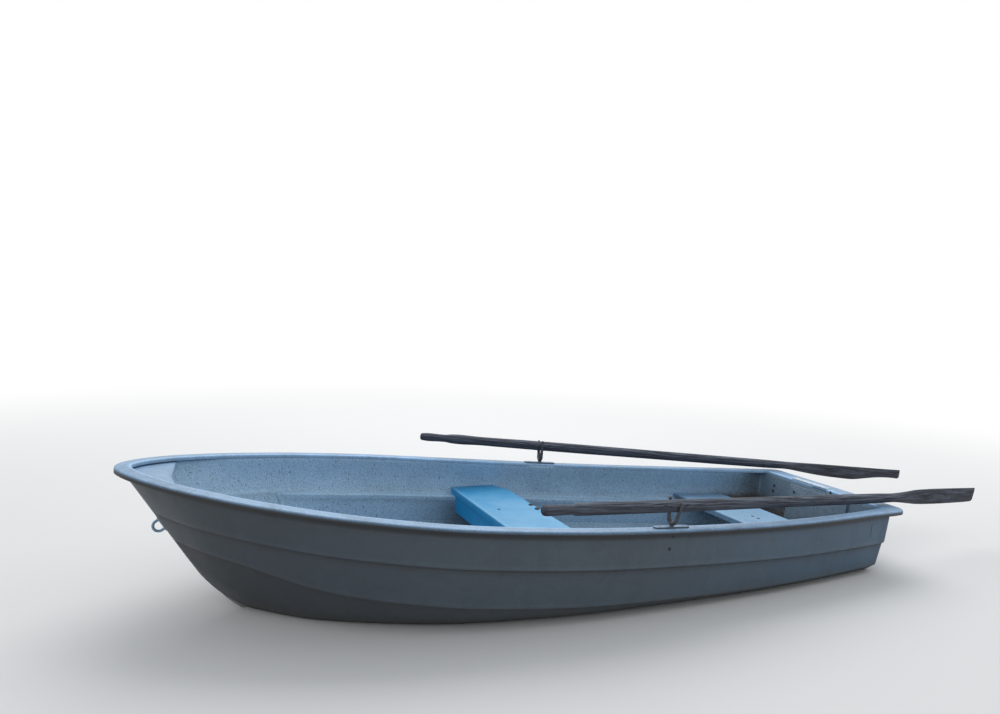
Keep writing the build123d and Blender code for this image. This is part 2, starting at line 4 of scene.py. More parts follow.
import bmesh
import bpy
import numpy as np
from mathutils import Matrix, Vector


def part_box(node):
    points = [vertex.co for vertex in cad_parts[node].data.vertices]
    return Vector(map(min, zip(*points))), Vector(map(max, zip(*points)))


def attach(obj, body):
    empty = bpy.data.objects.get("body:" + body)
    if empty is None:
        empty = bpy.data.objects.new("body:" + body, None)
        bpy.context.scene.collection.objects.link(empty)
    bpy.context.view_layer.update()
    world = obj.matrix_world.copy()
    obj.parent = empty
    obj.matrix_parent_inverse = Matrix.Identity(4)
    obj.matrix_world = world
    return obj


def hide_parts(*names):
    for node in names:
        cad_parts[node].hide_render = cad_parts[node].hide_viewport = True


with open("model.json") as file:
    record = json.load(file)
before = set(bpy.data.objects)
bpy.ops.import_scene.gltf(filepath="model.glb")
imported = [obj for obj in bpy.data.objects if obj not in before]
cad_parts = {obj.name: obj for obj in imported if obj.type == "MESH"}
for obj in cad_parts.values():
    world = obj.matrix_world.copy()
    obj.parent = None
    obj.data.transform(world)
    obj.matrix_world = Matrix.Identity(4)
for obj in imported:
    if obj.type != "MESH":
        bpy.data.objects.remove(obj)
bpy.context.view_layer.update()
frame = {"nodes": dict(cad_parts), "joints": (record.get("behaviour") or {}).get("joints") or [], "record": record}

bl_info = {
    "name": "Rowing boat",
    "version": (1, 0, 0),
    "blender": (4, 5, 0),
    "location": "View3D > Sidebar > Boat",
    "description": "Dresses a small moulded rowing boat with its weathered skin, seats, rowlocks and oars",
    "category": "Object",
}

# Hull stations. Columns: place of the sheer as a share of the length, place of the foot as a share of
# the keel and forefoot, half width at the sheer as a share of the half beam, widths of both laps and
# of the bilge as shares of it, share of the lower lap's drop, bilge height, share of the lap step.
STATIONS = np.array([
    (0.018, 0.000, 0.697, 0.985, 0.920, 0.72, 0.86, 0.095, 1.0),
    (0.176, 0.171, 0.840, 0.975, 0.908, 0.71, 0.90, 0.095, 1.0),
    (0.361, 0.366, 0.940, 0.963, 0.895, 0.70, 0.955, 0.092, 1.0),
    (0.549, 0.564, 0.997, 0.958, 0.876, 0.69, 1.00, 0.092, 1.0),
    (0.706, 0.715, 0.948, 0.943, 0.842, 0.62, 1.01, 0.095, 1.0),
    (0.829, 0.824, 0.760, 0.925, 0.808, 0.50, 0.97, 0.110, 1.0),
    (0.910, 0.886, 0.536, 0.885, 0.765, 0.42, 0.86, 0.140, 0.9),
    (0.957, 0.933, 0.345, 0.820, 0.680, 0.40, 0.84, 0.170, 0.7),
    (0.982, 0.966, 0.190, 0.740, 0.590, 0.42, 0.84, 0.190, 0.4),
    (0.990, 0.981, 0.119, 0.720, 0.600, 0.46, 0.84, 0.195, 0.2),
    (0.9955, 0.993, 0.035, 0.700, 0.620, 0.50, 0.84, 0.200, 0.1),
])
SHEER, FOOT, BEAM, LAP1, LAP2, BILGE, DROP, LIFT, STEP = range(9)
SHEER_EVEN_SHARE = 0.23
SEAT_GAP = 0.0003
FIT_GAP = 0.0006
UP = np.array((0.0, 0.0, 1.0))
ACROSS = np.array((0.0, 1.0, 0.0))
TABLE_STATIONS, TABLE_PLACES, TABLE_LEVELS, TABLE_TOP = 240, 300, 90, 0.55


def size(name, default, description):
    """A length in metres that a user may change."""
    return bpy.props.FloatProperty(
        name=name, description=description, default=default, min=0.0, unit="LENGTH", precision=4
    )


def colour(name, default, description):
    """A colour that a user may change."""
    return bpy.props.FloatVectorProperty(
        name=name, description=description, default=default, size=3, min=0.0, max=1.0, subtype="COLOR"
    )


class BoatSizes(bpy.types.PropertyGroup):
    """Sizes of the boat's own pieces."""

    hull_length: size("Hull length", 3.186, "From the stern rim to the bow rim")
    half_beam: size("Half beam", 0.606, "Greatest half width of the skin at the sheer")
    sheer_aft: size("Sheer aft", 0.295, "Height of the rim above the waterline at the stern")
    sheer_rise: size("Sheer rise", 0.248, "How much higher the rim is at the bow")
    keel_depth: size("Keel depth", 0.060, "Depth of the keel line below the waterline")
    keel_half_width: size("Keel half width", 0.014, "Half width of the flat along the keel")
    transom_rake: size("Transom rake", 0.105, "How far the transom leans aft")
    stem_lean: bpy.props.FloatProperty(
        name="Stem lean", description="Run of the stem for its rise", default=0.66
    )
    forefoot_radius: size("Forefoot radius", 0.520, "Radius between keel and stem")
    lap1_drop: size("Upper lap drop", 0.149, "Height of the upper lap below the rim")
    lap2_drop: size("Lower lap drop", 0.300, "Height of the lower lap below the rim")
    lap_step: size("Lap step", 0.012, "How far a lap stands out")
    lap_ramp: size("Lap ramp", 0.008, "Height of a lap's underside")
    wall: size("Wall", 0.006, "Thickness of the moulding")
    transom_wall: size("Transom wall", 0.030, "Thickness of the transom")
    corner_radius: size("Corner radius", 0.050, "Radius of the stern corners")
    rim_outside: size("Rim outside", 0.014, "How far the rim stands out of the skin")
    rim_inside: size("Rim inside", 0.042, "How far the rim reaches inboard")
    rim_depth: size("Rim depth", 0.020, "Depth of the rim's outer face")
    rim_inner_depth: size("Rim inner depth", 0.015, "Depth of the rim's inner lip")
    rim_thickness: size("Rim thickness", 0.008, "Thickness of the rim's top")
    rim_wall: size("Rim wall", 0.006, "Thickness of the rim's faces")
    stern_overhang: size("Stern overhang", 0.056, "How much further the rim stands out over the transom")
    stern_narrowing: size("Stern narrowing", 0.011, "How much less the rim reaches inboard over the transom")
    lining_reach: size("Lining reach", 0.033, "How far the lining draws in below the rim")
    rowlock_pad: size("Rowlock pad", 0.010, "How much thicker the lining is over the rowlock's leg")
    lining_depth: size("Lining depth", 0.112, "Depth below the rim at which the lining starts to draw in")
    riser_drop: size("Riser drop", 0.164, "Depth of the seat ledge below the rim")
    riser_width: size("Riser width", 0.042, "Width of the seat ledge")
    riser_edge: size("Riser edge", 0.016, "Height of the ledge's edge")
    riser_height: size("Riser height", 0.118, "Height of the ledge's form")
    riser_end: size("Riser end", 2.640, "Where the ledge ends, from the stern")
    floor_height: bpy.props.FloatProperty(
        name="Floor height", description="Underside of the sole", default=-0.018, unit="LENGTH"
    )
    floor_thickness: size("Floor thickness", 0.010, "Thickness of the sole")
    oar_length: size("Oar length", 2.750, "Length of an oar")
    oar_outboard: size("Oar outboard", 2.146, "Length of an oar from the horn to the tip")


class BoatColours(bpy.types.PropertyGroup):
    """Colours of the boat's finishes."""

    # The topsides colour is darker than the gelcoat itself, as painted shade for the shaded outer side.
    topsides: colour("Topsides", (0.078, 0.104, 0.130), "Weathered outer gelcoat")
    quarters: colour("Quarters", (0.064, 0.122, 0.192), "Bluer outer gelcoat towards the stern")
    rim: colour("Rim", (0.188, 0.325, 0.500), "Gelcoat of the rim")
    inside: colour("Inside", (0.300, 0.450, 0.610), "Gelcoat inside the hull")
    thwart: colour("Thwart", (0.010, 0.275, 0.580), "Blue gelcoat of the thwart")
    # The pale top colour of the thwart stands for sun-bleaching and for a painted reflection of the sky on the
    # top.
    thwart_bleached_and_lit: colour("Faded thwart", (0.130, 0.400, 0.660), "Sun-bleached top of the thwart")
    bench: colour("Bench", (0.200, 0.360, 0.545), "White gelcoat of the stern bench")
    # Grime: the colour of dirt in streaks and corners, and also of the painted shadow under the rim, the laps, the
    # ledges and the seats, and of all painted shade that the shade value lays on.
    grime: colour("Grime", (0.045, 0.047, 0.052), "Dirt in corners and streaks")
    mud: colour("Mud", (0.060, 0.047, 0.038), "Brown dirt in the stern")
    # Mud: brown dirt in the stern, also laid under the seat ledges as painted shade.
    scum: colour("Scum", (0.060, 0.062, 0.056), "Growth along the waterline")
    wood: colour("Wood", (0.067, 0.076, 0.100), "Bare weathered wood")
    wood_pale: colour("Silver wood", (0.190, 0.230, 0.298), "Bleached streaks of the wood")
    wood_dark: colour("Dark wood", (0.019, 0.018, 0.024), "Cracks and wet grain of the wood")
    steel: colour("Steel", (0.085, 0.092, 0.104), "Blackened steel of horns and bolts")
    rust: colour("Rust", (0.055, 0.036, 0.028), "Rusted steel")
    # The zinc colour's light blue is a painted reflection of the sky on the dull zinc.
    zinc: colour("Zinc", (0.200, 0.310, 0.450), "Dull zinc coat")
    aluminium: colour("Aluminium", (0.60, 0.70, 0.80), "Clamp strip")
    brass: colour("Brass", (0.30, 0.22, 0.10), "Drain plug")
    floor: colour("Studio floor", (0.80, 0.80, 0.80), "Floor at the waterline")


# Facts of the frame


def joint(name):
    """A joint of the frame by its name."""
    return next(j for j in frame["joints"] if j["name"] == name)


def mount(name):
    """A mount of the frame by its name."""
    return next(m for m in frame["record"]["mounts"] if m["name"] == name)


# Numbers into curves and meshes


def unit(vectors):
    """Directions of length 1, along the last axis."""
    vectors = np.asarray(vectors, float)
    return vectors / np.linalg.norm(vectors, axis=-1, keepdims=True)


def once_round(count):
    """Angles once round, whose last is the first again, so that a seam closes exactly."""
    turn = np.linspace(0, 2 * np.pi, count)
    turn[-1] = 0.0
    return turn


def distances(line):
    """Distance along a line (points, n) from its first point to each point."""
    return np.concatenate([[0], np.cumsum(np.linalg.norm(np.diff(line, axis=0), axis=1))])


def ramp(value, start, reach):
    """Share that rises evenly from 0 at start to 1 a reach further."""
    return np.clip((value - start) / reach, 0, 1)


def close_to(value, place, reach):
    """Share that falls off on both sides of a place as the exponential of the distance over a reach."""
    return np.exp(-np.abs(value - place) / reach)


def end_rows(values):
    """Values on a grid with both end rows doubled, to fit the grid once it is capped."""
    return np.pad(values, ((1, 1), *((0, 0),) * (values.ndim - 1)), "edge")


def hermite(knots, values, places):
    """Smooth curve through rows of values at knots.

    Each span is a cubic whose end slopes are the mean of the rates on both sides, weighted by the
    other side's gap.
    """
    gaps = np.diff(knots)[:, None]
    rates = np.diff(values, axis=0) / gaps
    inner = (rates[:-1] * gaps[1:] + rates[1:] * gaps[:-1]) / (gaps[1:] + gaps[:-1])
    slopes = np.vstack([2 * rates[:1] - inner[:1], inner, 2 * rates[-1:] - inner[-1:]])
    i = np.clip(np.searchsorted(knots, places, side="right") - 1, 0, len(knots) - 2)
    t = ((places - knots[i]) / gaps[i, 0])[:, None]
    bend = gaps[i] * (slopes[i] * t * (1 - t) ** 2 - slopes[i + 1] * t * t * (1 - t))
    return values[i] * (1 + 2 * t) * (1 - t) ** 2 + values[i + 1] * t * t * (3 - 2 * t) + bend


def rounded(points, reaches, closed=False, steps=4):
    """Outlines (..., corners, 2) whose corners become parabolas that start a reach before the corner
    and end a reach after it, or at 45 percent of a shorter side."""
    reaches = np.asarray(reaches, float)[:, None]
    back = np.roll(points, 1, -2) - points
    fore = np.roll(points, -1, -2) - points
    back_length = np.maximum(np.linalg.norm(back, axis=-1, keepdims=True), 1e-9)
    fore_length = np.maximum(np.linalg.norm(fore, axis=-1, keepdims=True), 1e-9)
    reach = np.minimum(reaches, 0.45 * np.minimum(back_length, fore_length))
    start = points + back / back_length * reach
    end = points + fore / fore_length * reach
    t = np.linspace(0, 1, steps + 1)[:, None]
    curve = (
        start[..., None, :] * (1 - t) ** 2
        + 2 * points[..., None, :] * t * (1 - t)
        + end[..., None, :] * t * t
    )
    if closed:
        curve = curve.reshape(*points.shape[:-2], -1, 2)
        return np.concatenate([curve, curve[..., :1, :]], -2)
    middle = curve[..., 1:-1, :, :].reshape(*points.shape[:-2], -1, 2)
    return np.concatenate([points[..., :1, :], middle, points[..., -1:, :]], -2)


def refined(lines, spacing):
    """Lines (..., points, n) with more points on their long stretches, as many on every line."""
    lengths = np.linalg.norm(np.diff(lines, axis=-2), axis=-1)
    longest = lengths.reshape(-1, lengths.shape[-1]).max(0)
    counts = np.maximum(1, np.ceil(longest / spacing)).astype(int)
    span = np.repeat(np.arange(len(counts)), counts)
    share = np.concatenate([np.arange(count) / count for count in counts])[:, None]
    between = lines[..., span, :] * (1 - share) + lines[..., span + 1, :] * share
    return np.concatenate([between, lines[..., -1:, :]], -2)


class Patch:
    """A grid of points (rows, columns, 3) with its UV (rows, columns, 2) and named values on it."""

    def __init__(self, points, uv=None, **values):
        self.points = np.asarray(points, float)
        rows, columns = self.points.shape[:2]
        if uv is None:
            along = np.linspace(0, 1, rows)[:, None] * np.ones(columns)
            uv = np.stack([along, np.ones((rows, 1)) * np.linspace(0, 1, columns)], -1)
        self.uv = uv
        self.values = {name: np.broadcast_to(value, (rows, columns)) for name, value in values.items()}

    def mirrored(self):
        """The patch on the other side of the centre plane."""
        return Patch(self.points * (1, -1, 1), self.uv, **self.values)


def capped(points):
    """Grid of closed loops with each end row drawn together to its middle."""
    first = np.broadcast_to(points[:1].mean(1, keepdims=True), points[:1].shape)
    last = np.broadcast_to(points[-1:].mean(1, keepdims=True), points[-1:].shape)
    return np.concatenate([first, points, last])


def wrapped(front, back):
    """Grid of closed loops round two grids that face each other: along the front, then back along the
    back."""
    return np.concatenate([front, back[:, ::-1], front[:, :1]], 1)


def quads(rows, columns):
    """Corners of all faces of a grid."""
    corner = (np.arange(rows - 1)[:, None] * columns + np.arange(columns - 1)).ravel()
    return np.stack([corner, corner + 1, corner + columns + 1, corner + columns], 1)


def rectangle(low, high, radius, spacing, steps=5):
    """Outline of a rectangle from its low to its high corner, with rounded corners."""
    corners = np.array([low, (high[0], low[1]), high, (low[0], high[1])])
    return refined(rounded(corners, (radius,) * 4, True, steps), spacing)


def revolved(profile, place, axis, sides=40):
    """Grid of a profile of (radius, height) pairs turned about an axis through a place."""
    axis = unit(axis)
    first = unit(np.cross(axis, (0.0, 1.0, 0.0) if abs(axis[1]) < 0.9 else (1.0, 0.0, 0.0)))
    second = np.cross(axis, first)
    turn = once_round(sides + 1)
    spoke = np.cos(turn)[:, None] * first + np.sin(turn)[:, None] * second
    profile = np.asarray(profile, float)
    return np.asarray(place) + profile[:, None, :1] * spoke + profile[:, None, 1:] * axis


def head(place, axis, radius, height, **values):
    """Domed screw or bolt head that stands on a surface."""
    profile = [(0, -0.3 * height), (radius, -0.3 * height), (radius, 0.25 * height)]
    turn = np.linspace(0, np.pi / 2, 6)
    profile += [(radius * c, height * (0.25 + 0.75 * s)) for c, s in zip(np.cos(turn), np.sin(turn))]
    profile[-1] = (0, height)
    return Patch(revolved(profile, place, axis, 24), **values)


def tube(path, radii, side, wide=1.0, **values):
    """Closed pipe along a path (points, 3), a radius at each point, wider along a steady side direction."""
    path = np.asarray(path, float)
    ahead = unit(np.gradient(path, axis=0))
    across = unit(side - (ahead @ side)[:, None] * ahead)
    other = np.cross(ahead, across)
    turn = once_round(29)
    wide = np.broadcast_to(wide, len(path))[:, None, None]
    ring = wide * np.cos(turn)[:, None] * across[:, None] + np.sin(turn)[:, None] * other[:, None]
    return Patch(capped(path[:, None] + np.asarray(radii)[:, None, None] * ring), **values)


def slab(outline, plane, heights, insets, **values):
    """Flat piece: a closed outline (points, 2) in a plane, stacked at heights with its edge drawn in.

    At each height every point of the outline moves towards its middle by the inset.
    """
    origin, across, along, normal = plane
    middle = outline.mean(0)
    offset = outline - middle
    length = np.linalg.norm(offset, axis=1, keepdims=True)
    rows = []
    for height, inset in zip(heights, insets):
        flat = middle + offset * (1 - np.minimum(inset / length, 1))
        rows.append(origin + flat[:, :1] * across + flat[:, 1:] * along + height * normal)
    return Patch(capped(np.array(rows)), **values)


def make_piece(name, patches, body, material, replaces=(), sharp=None):
    """Joins patches to one closed mesh, merges its seams, turns its faces outwards and lets it ride."""
    names = sorted({key for patch in patches for key in patch.values})
    points, uvs, faces, values = [], [], [], {key: [] for key in names}
    start = 0
    for patch in patches:
        rows, columns = patch.points.shape[:2]
        faces.append(start + quads(rows, columns))
        points.append(patch.points.reshape(-1, 3))
        uvs.append(patch.uv.reshape(-1, 2))
        for key in names:
            values[key].append(np.broadcast_to(patch.values.get(key, 0.0), (rows, columns)).ravel())
        start += rows * columns
    points, uvs, faces = np.concatenate(points), np.concatenate(uvs), np.concatenate(faces)
    mesh = bpy.data.meshes.new(name)
    mesh.vertices.add(len(points))
    mesh.vertices.foreach_set("co", points.astype(np.float32).ravel())
    mesh.loops.add(faces.size)
    mesh.loops.foreach_set("vertex_index", faces.astype(np.int32).ravel())
    mesh.polygons.add(len(faces))
    mesh.polygons.foreach_set("loop_start", np.arange(0, faces.size, 4, dtype=np.int32))
    mesh.update(calc_edges=True)
    layer = mesh.uv_layers.new(name="UVMap")
    layer.data.foreach_set("uv", uvs[faces.ravel()].astype(np.float32).ravel())
    for key in names:
        field = mesh.attributes.new(key, "FLOAT", "POINT")
        field.data.foreach_set("value", np.concatenate(values[key]).astype(np.float32))
    form = bmesh.new()
    form.from_mesh(mesh)
    bmesh.ops.remove_doubles(form, verts=form.verts, dist=2e-6)
    bmesh.ops.dissolve_degenerate(form, edges=form.edges, dist=1e-7)
    bmesh.ops.recalc_face_normals(form, faces=form.faces)
    form.to_mesh(mesh)
    form.free()
    mesh.polygons.foreach_set("use_smooth", np.ones(len(mesh.polygons), bool))
    if sharp:
        mesh.set_sharp_from_angle(angle=math.radians(sharp))
    piece = bpy.data.objects.new(name, mesh)
    bpy.context.scene.collection.objects.link(piece)
    mesh.materials.append(material)
    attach(piece, body)
    if replaces:
        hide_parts(*replaces)
    return piece


# Form of the hull


class Hull:
    """The hull's form: stations read on smooth curves, each an outline in a leaning plane."""

    def __init__(self, sizes):
        self.size = sizes
        self.length = sizes.hull_length
        beam = STATIONS[:2, BEAM] * sizes.half_beam
        run = (STATIONS[1, SHEER] - STATIONS[0, SHEER]) * self.length
        self.corner_depth = sizes.corner_radius * (1 - math.sin(math.atan2(beam[1] - beam[0], run)))
        self.transom_inside = sizes.transom_wall - self.corner_depth
        self.skin_top = -sizes.rim_thickness - SEAT_GAP
        self.tables = {}

    def rows(self, shares):
        """Stations at shares of the length."""
        return hermite(STATIONS[:, SHEER], STATIONS, np.asarray(shares, float))

    def sheer(self, along):
        """Height of the sheer: partly even, partly quadratic in the share of the length."""
        share = along / self.length
        rise = SHEER_EVEN_SHARE * share + (1 - SHEER_EVEN_SHARE) * share**2
        return self.size.sheer_aft + self.size.sheer_rise * rise

    def sheer_at(self, x):
        """Height of the sheer at a place along the boat in the shared frame."""
        return self.sheer(np.asarray(x, float) + self.length / 2)

    def foot(self, share):
        """Place and height on the profile: a straight keel, then the forefoot's arc up to the stem."""
        size = self.size
        full_turn = math.atan2(1, size.stem_lean)
        head = self.length - size.rim_outside
        crossing = head - size.stem_lean * (self.sheer(head) + size.keel_depth)
        arc_start = crossing - size.forefoot_radius * math.tan(full_turn / 2)
        straight = arc_start - size.transom_rake
        reach = share * (straight + size.forefoot_radius * full_turn)
        angle = np.maximum(reach - straight, 0) / size.forefoot_radius
        on_arc = arc_start + size.forefoot_radius * np.sin(angle)
        along = np.where(angle > 0, on_arc, size.transom_rake + reach)
        return along, -size.keel_depth + size.forefoot_radius * (1 - np.cos(angle))

    def place(self, rows, heights, shift=0.0):
        """Place along the boat of heights (stations, points) in the leaning planes."""
        along, low = self.foot(rows[:, FOOT])
        top = rows[:, SHEER] * self.length
        share = (heights - low[:, None]) / (self.sheer(top) - low)[:, None]
        return along[:, None] + (top - along)[:, None] * share - self.length / 2 + shift

    def outline(self, rows, inset, top):
        """Half sections (stations, 9, 2) from the sheer over both laps and the bilge to the keel."""
        size = self.size
        low = self.foot(rows[:, FOOT])[1]
        sheer = self.sheer(rows[:, SHEER] * self.length)
        keel = size.keel_half_width
        side = rows[:, BEAM] * size.half_beam
        flare = side - keel
        step = size.lap_step * rows[:, STEP]
        lap1, lap2 = keel + flare * rows[:, LAP1], keel + flare * rows[:, LAP2]
        lap1_height, lap2_height = sheer - size.lap1_drop, sheer - size.lap2_drop * rows[:, DROP]
        foot = np.stack([lap2 - step, lap2_height - size.lap_ramp], 1)
        turn = np.stack([keel + flare * rows[:, BILGE], low + (sheer - low) * rows[:, LIFT]], 1)
        keel_point = np.stack([keel + 0 * low, low], 1)
        upper = 0.5 * (foot + turn)
        lower = 0.6 * turn + 0.4 * keel_point
        middle = 0.25 * (upper + lower + 2 * turn)
        return np.stack([
            np.stack([side + (side - lap1) * top / size.lap1_drop - inset, sheer + top], 1),
            np.stack([lap1 - inset, lap1_height], 1),
            np.stack([lap1 - step - inset, lap1_height - size.lap_ramp], 1),
            np.stack([lap2 - inset, lap2_height], 1),
            foot - (inset, 0),
            upper - (inset, 0),
            middle + (-0.6 * inset, 0.8 * inset),
            lower + (0, inset),
            keel_point + (0, inset),
        ], 1)

    def in_space(self, rows, section, shift=0.0):
        """Points in space of sections (stations, points, 2) of half width and height."""
        return np.stack([self.place(rows, section[..., 1], shift), section[..., 0], section[..., 1]], -1)

    def half_width(self, x, z, inset):
        """Half width of the skin at places and heights, read from a table over both."""
        if inset not in self.tables:
            rows = self.rows(np.linspace(STATIONS[0, SHEER], STATIONS[-1, SHEER], TABLE_STATIONS))
            outline = self.outline(rows, inset, 0)
            levels = np.linspace(-self.size.keel_depth, TABLE_TOP, TABLE_LEVELS)
            widths = np.array([np.interp(levels, line[::-1, 1], line[::-1, 0]) for line in outline])
            places = self.place(rows, np.broadcast_to(levels, widths.shape))
            grid = np.linspace(-self.length / 2, self.length / 2, TABLE_PLACES)
            table = np.array([np.interp(grid, places[:, k], widths[:, k]) for k in range(len(levels))])
            self.tables[inset] = (grid, levels, table)
        grid, levels, table = self.tables[inset]
        i = np.clip((x - grid[0]) / (grid[1] - grid[0]), 0, len(grid) - 1.001)
        k = np.clip((z - levels[0]) / (levels[1] - levels[0]), 0, len(levels) - 1.001)
        i0, k0 = i.astype(int), k.astype(int)
        a, b = i - i0, k - k0
        near = table[k0, i0] * (1 - a) + table[k0, i0 + 1] * a
        return near * (1 - b) + (table[k0 + 1, i0] * (1 - a) + table[k0 + 1, i0 + 1] * a) * b

    def shelf(self, x):
        """Height of the seat ledge's top at a place along the boat."""
        return self.sheer_at(x) - self.size.riser_drop

    def ledge_edge(self, x):
        """Half width of the seat ledge's inner edge at a place along the boat."""
        wall = self.size.wall
        return self.half_width(np.asarray(x, float), self.shelf(x), wall) - SEAT_GAP - self.size.riser_width

    def sheer_path(self, count=260):
        """Port sheer line from the stern to the bow's middle, and its level direction outboard."""
        shares = np.concatenate([np.linspace(STATIONS[0, SHEER], 0.94, 40), STATIONS[-4:, SHEER]])
        rows = self.rows(shares)
        points = np.stack([shares * self.length - self.length / 2, rows[:, BEAM] * self.size.half_beam], 1)
        nose = (self.length / 2 - self.size.rim_outside, 0.0)
        knots = np.concatenate([points, [nose], points[:-4:-1] * (1, -1)])
        run = distances(knots)
        stop = run[len(points)]
        ease = 1 - (1 - np.linspace(0, 1, count)) ** 1.5
        places = ease * stop
        flat = hermite(run, knots, places)
        ahead = unit(hermite(run, knots, places + 1e-5) - hermite(run, knots, places - 1e-5))
        flat[-1, 1] = 0.0
        outward = np.stack([-ahead[:, 1], ahead[:, 0], 0 * places], 1)
        outward[-1] = (1, 0, 0)
        return np.column_stack([flat, self.sheer_at(flat[:, 0])]), outward


def below_thwart(x, depth):
    """Share of the painted shadow ahead of and under the thwart, at depths below the seat ledge."""
    low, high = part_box("thwart")
    near = (1 - ramp(x, high.x, 0.30)) ** 2 * (x > low.x)
    return 0.60 * near * ramp(depth, 0.004, 0.05)


def under(edge, heights, reach):
    """Share of dirt below an edge, which fades with the distance."""
    return np.where(heights < edge, np.exp(-np.maximum(edge - heights, 0) / reach), 0.0)


def drawn_in(hull, rows, shares, section):
    """Sections whose upper part draws in towards the rim's inner edge, smoothly from the lining's depth
    up, less towards the stern and the bow, and swells over the rowlock's leg as a bell curve."""
    size = hull.size
    drop = hull.sheer(rows[:, SHEER] * hull.length)[:, None] - section[..., 1]
    share = ramp(size.lining_depth - drop, 0, size.lining_depth - size.rim_inner_depth)
    ends = ramp(shares, STATIONS[0, SHEER], 0.03) * ramp(0.96 - shares, 0, 0.08)
    extra = size.lining_reach * share**1.4 * ends[:, None]
    away = hull.place(rows, section[..., 1]) - joint("swing_port")["pos_m"][0]
    extra += size.rowlock_pad * np.exp(-((away / 0.050) ** 2)) * ramp(0.150 - drop, 0, 0.035) ** 2
    return section - np.stack([extra, 0 * extra], -1)


def skin_sheet(hull, inset, depth, radius, reaches, nose, count=150):
    """Half of a skin, from the transom's middle over the corner and along the side to the bow.

    The transom is a fan whose widths grow from 0, the corner narrows the first station by the cosine
    of its turn and moves it aft by the sine, and the bow's widths end on a quarter ellipse.
    """
    ease = 1 - (1 - np.linspace(0, 1, count)) ** 2
    shares = STATIONS[0, SHEER] + (nose[1] - STATIONS[0, SHEER]) * ease
    rows = hull.rows(shares)
    outline = hull.outline(rows, inset, hull.skin_top)
    centre = outline[:, -1:] * (0, 1)
    section = refined(rounded(np.concatenate([outline, centre], 1), reaches), 0.018)
    if inset:
        section = drawn_in(hull, rows, shares, section)
    squeeze = np.sqrt(1 - ramp(shares, nose[0], nose[1] - nose[0]) ** 2)
    side = hull.in_space(rows, section * np.stack([squeeze, np.ones(count)], 1)[:, None])
    fan_steps, corner_steps = 11, 12
    turn = np.radians(np.linspace(90, 0, corner_steps + 1))[:-1]
    narrowing = 1 - radius * (1 - np.cos(turn)) / (rows[0, BEAM] * hull.size.half_beam)
    scale = np.concatenate([np.linspace(0, 1, fan_steps + 1)[:-1] * narrowing[0], narrowing])
    shift = -depth * np.concatenate([np.ones(fan_steps), np.sin(turn)])
    stern_rows = np.repeat(rows[:1], len(scale), 0)
    stern_section = section[:1] * np.stack([scale, np.ones(len(scale))], 1)[:, None]
    stern = hull.in_space(stern_rows, stern_section, shift[:, None])
    return np.concatenate([stern, side]), np.concatenate([stern_rows, rows])


# Shader maths as expressions


class Flow:
    """A socket of a shader tree, on which plain operators add Math nodes."""

    def __init__(self, finish, socket):
        self.finish = finish
        self.socket = socket

    def math(self, operation, *others, clamp=False):
        """A Math node with this value first."""
        settings = {"operation": operation, "use_clamp": clamp}
        return self.finish.node("ShaderNodeMath", settings, dict(enumerate((self, *others))))

    def __add__(self, other):
        return self.math("ADD", other)

    def __radd__(self, other):
        return self.math("ADD", other)

    def __sub__(self, other):
        return self.math("SUBTRACT", other)

    def __rsub__(self, other):
        return self.finish.node("ShaderNodeMath", {"operation": "SUBTRACT"}, {0: other, 1: self})

    def __mul__(self, other):
        return self.math("MULTIPLY", other)

    def __rmul__(self, other):
        return self.math("MULTIPLY", other)

    def clamped(self):
        """The value kept between 0 and 1."""
        return self.math("ADD", 0.0, clamp=True)

    def band(self, low, high):
        """0 below low, 1 above high and smooth between them."""
        settings = {"interpolation_type": "SMOOTHSTEP", "clamp": True}
        inputs = {"Value": self, "From Min": low, "From Max": high}
        return self.finish.node("ShaderNodeMapRange", settings, inputs)


class Finish:
    """A material under construction."""

    def __init__(self, name):
        self.material = bpy.data.materials.new(name)
        self.material.use_nodes = True
        self.tree = self.material.node_tree
        self.tree.nodes.clear()
        self.output = self.tree.nodes.new("ShaderNodeOutputMaterial")

    def node(self, kind, settings=None, inputs=None, output=0):
        """Any node: its settings first, then the values or links of its sockets."""
        node = self.tree.nodes.new(kind)
        for key, value in (settings or {}).items():
            setattr(node, key, value)
        for key, value in (inputs or {}).items():
            socket = node.inputs[key]
            if isinstance(value, Flow):
                self.tree.links.new(value.socket, socket)
            else:
                socket.default_value = value
        return Flow(self, node.outputs[output])

    def place(self, scale=(1.0, 1.0, 1.0), source="Object"):
        """Object coordinates or UV, stretched."""
        coordinates = self.node("ShaderNodeTexCoord", output=source)
        return self.node("ShaderNodeMapping", {}, {"Vector": coordinates, "Scale": scale})

    def noise(self, vector, scale, detail=4.0, roughness=0.55, distortion=0.0):
        """Soft noise from 0 to 1."""
        inputs = {"Scale": scale, "Detail": detail, "Roughness": roughness, "Distortion": distortion}
        return self.node("ShaderNodeTexNoise", {}, {"Vector": vector, **inputs})

    def value(self, name):
        """A value stored on the mesh."""
        return self.node("ShaderNodeAttribute", {"attribute_name": name}, output="Fac")

    def mix(self, factor, first, second):
        """Blend of two colours."""
        inputs = {0: factor, 6: rgba(first), 7: rgba(second)}
        return self.node("ShaderNodeMix", {"data_type": "RGBA", "clamp_factor": True}, inputs, output=2)

    def bump(self, height, strength, distance):
        """Normal from a height."""
        return self.node("ShaderNodeBump", {}, {"Height": height, "Strength": strength, "Distance": distance})

    def finish(self, colour, roughness, normal=None, **constants):
        """Principled shader with what varies linked and the rest set on its sockets."""
        inputs = {"Base Color": colour, "Roughness": roughness}
        if normal is not None:
            inputs["Normal"] = normal
        inputs.update({key.replace("_", " "): value for key, value in constants.items()})
        shader = self.node("ShaderNodeBsdfPrincipled", {}, inputs)
        self.tree.links.new(shader.socket, self.output.inputs["Surface"])
        return self.material


def rgba(value):
    """A colour with its alpha, or a link as it is."""
    return value if isinstance(value, Flow) else (*value[:3], 1.0)


def scaled(value, factor):
    """A colour made lighter or darker."""
    return tuple(min(1.0, part * factor) for part in value)


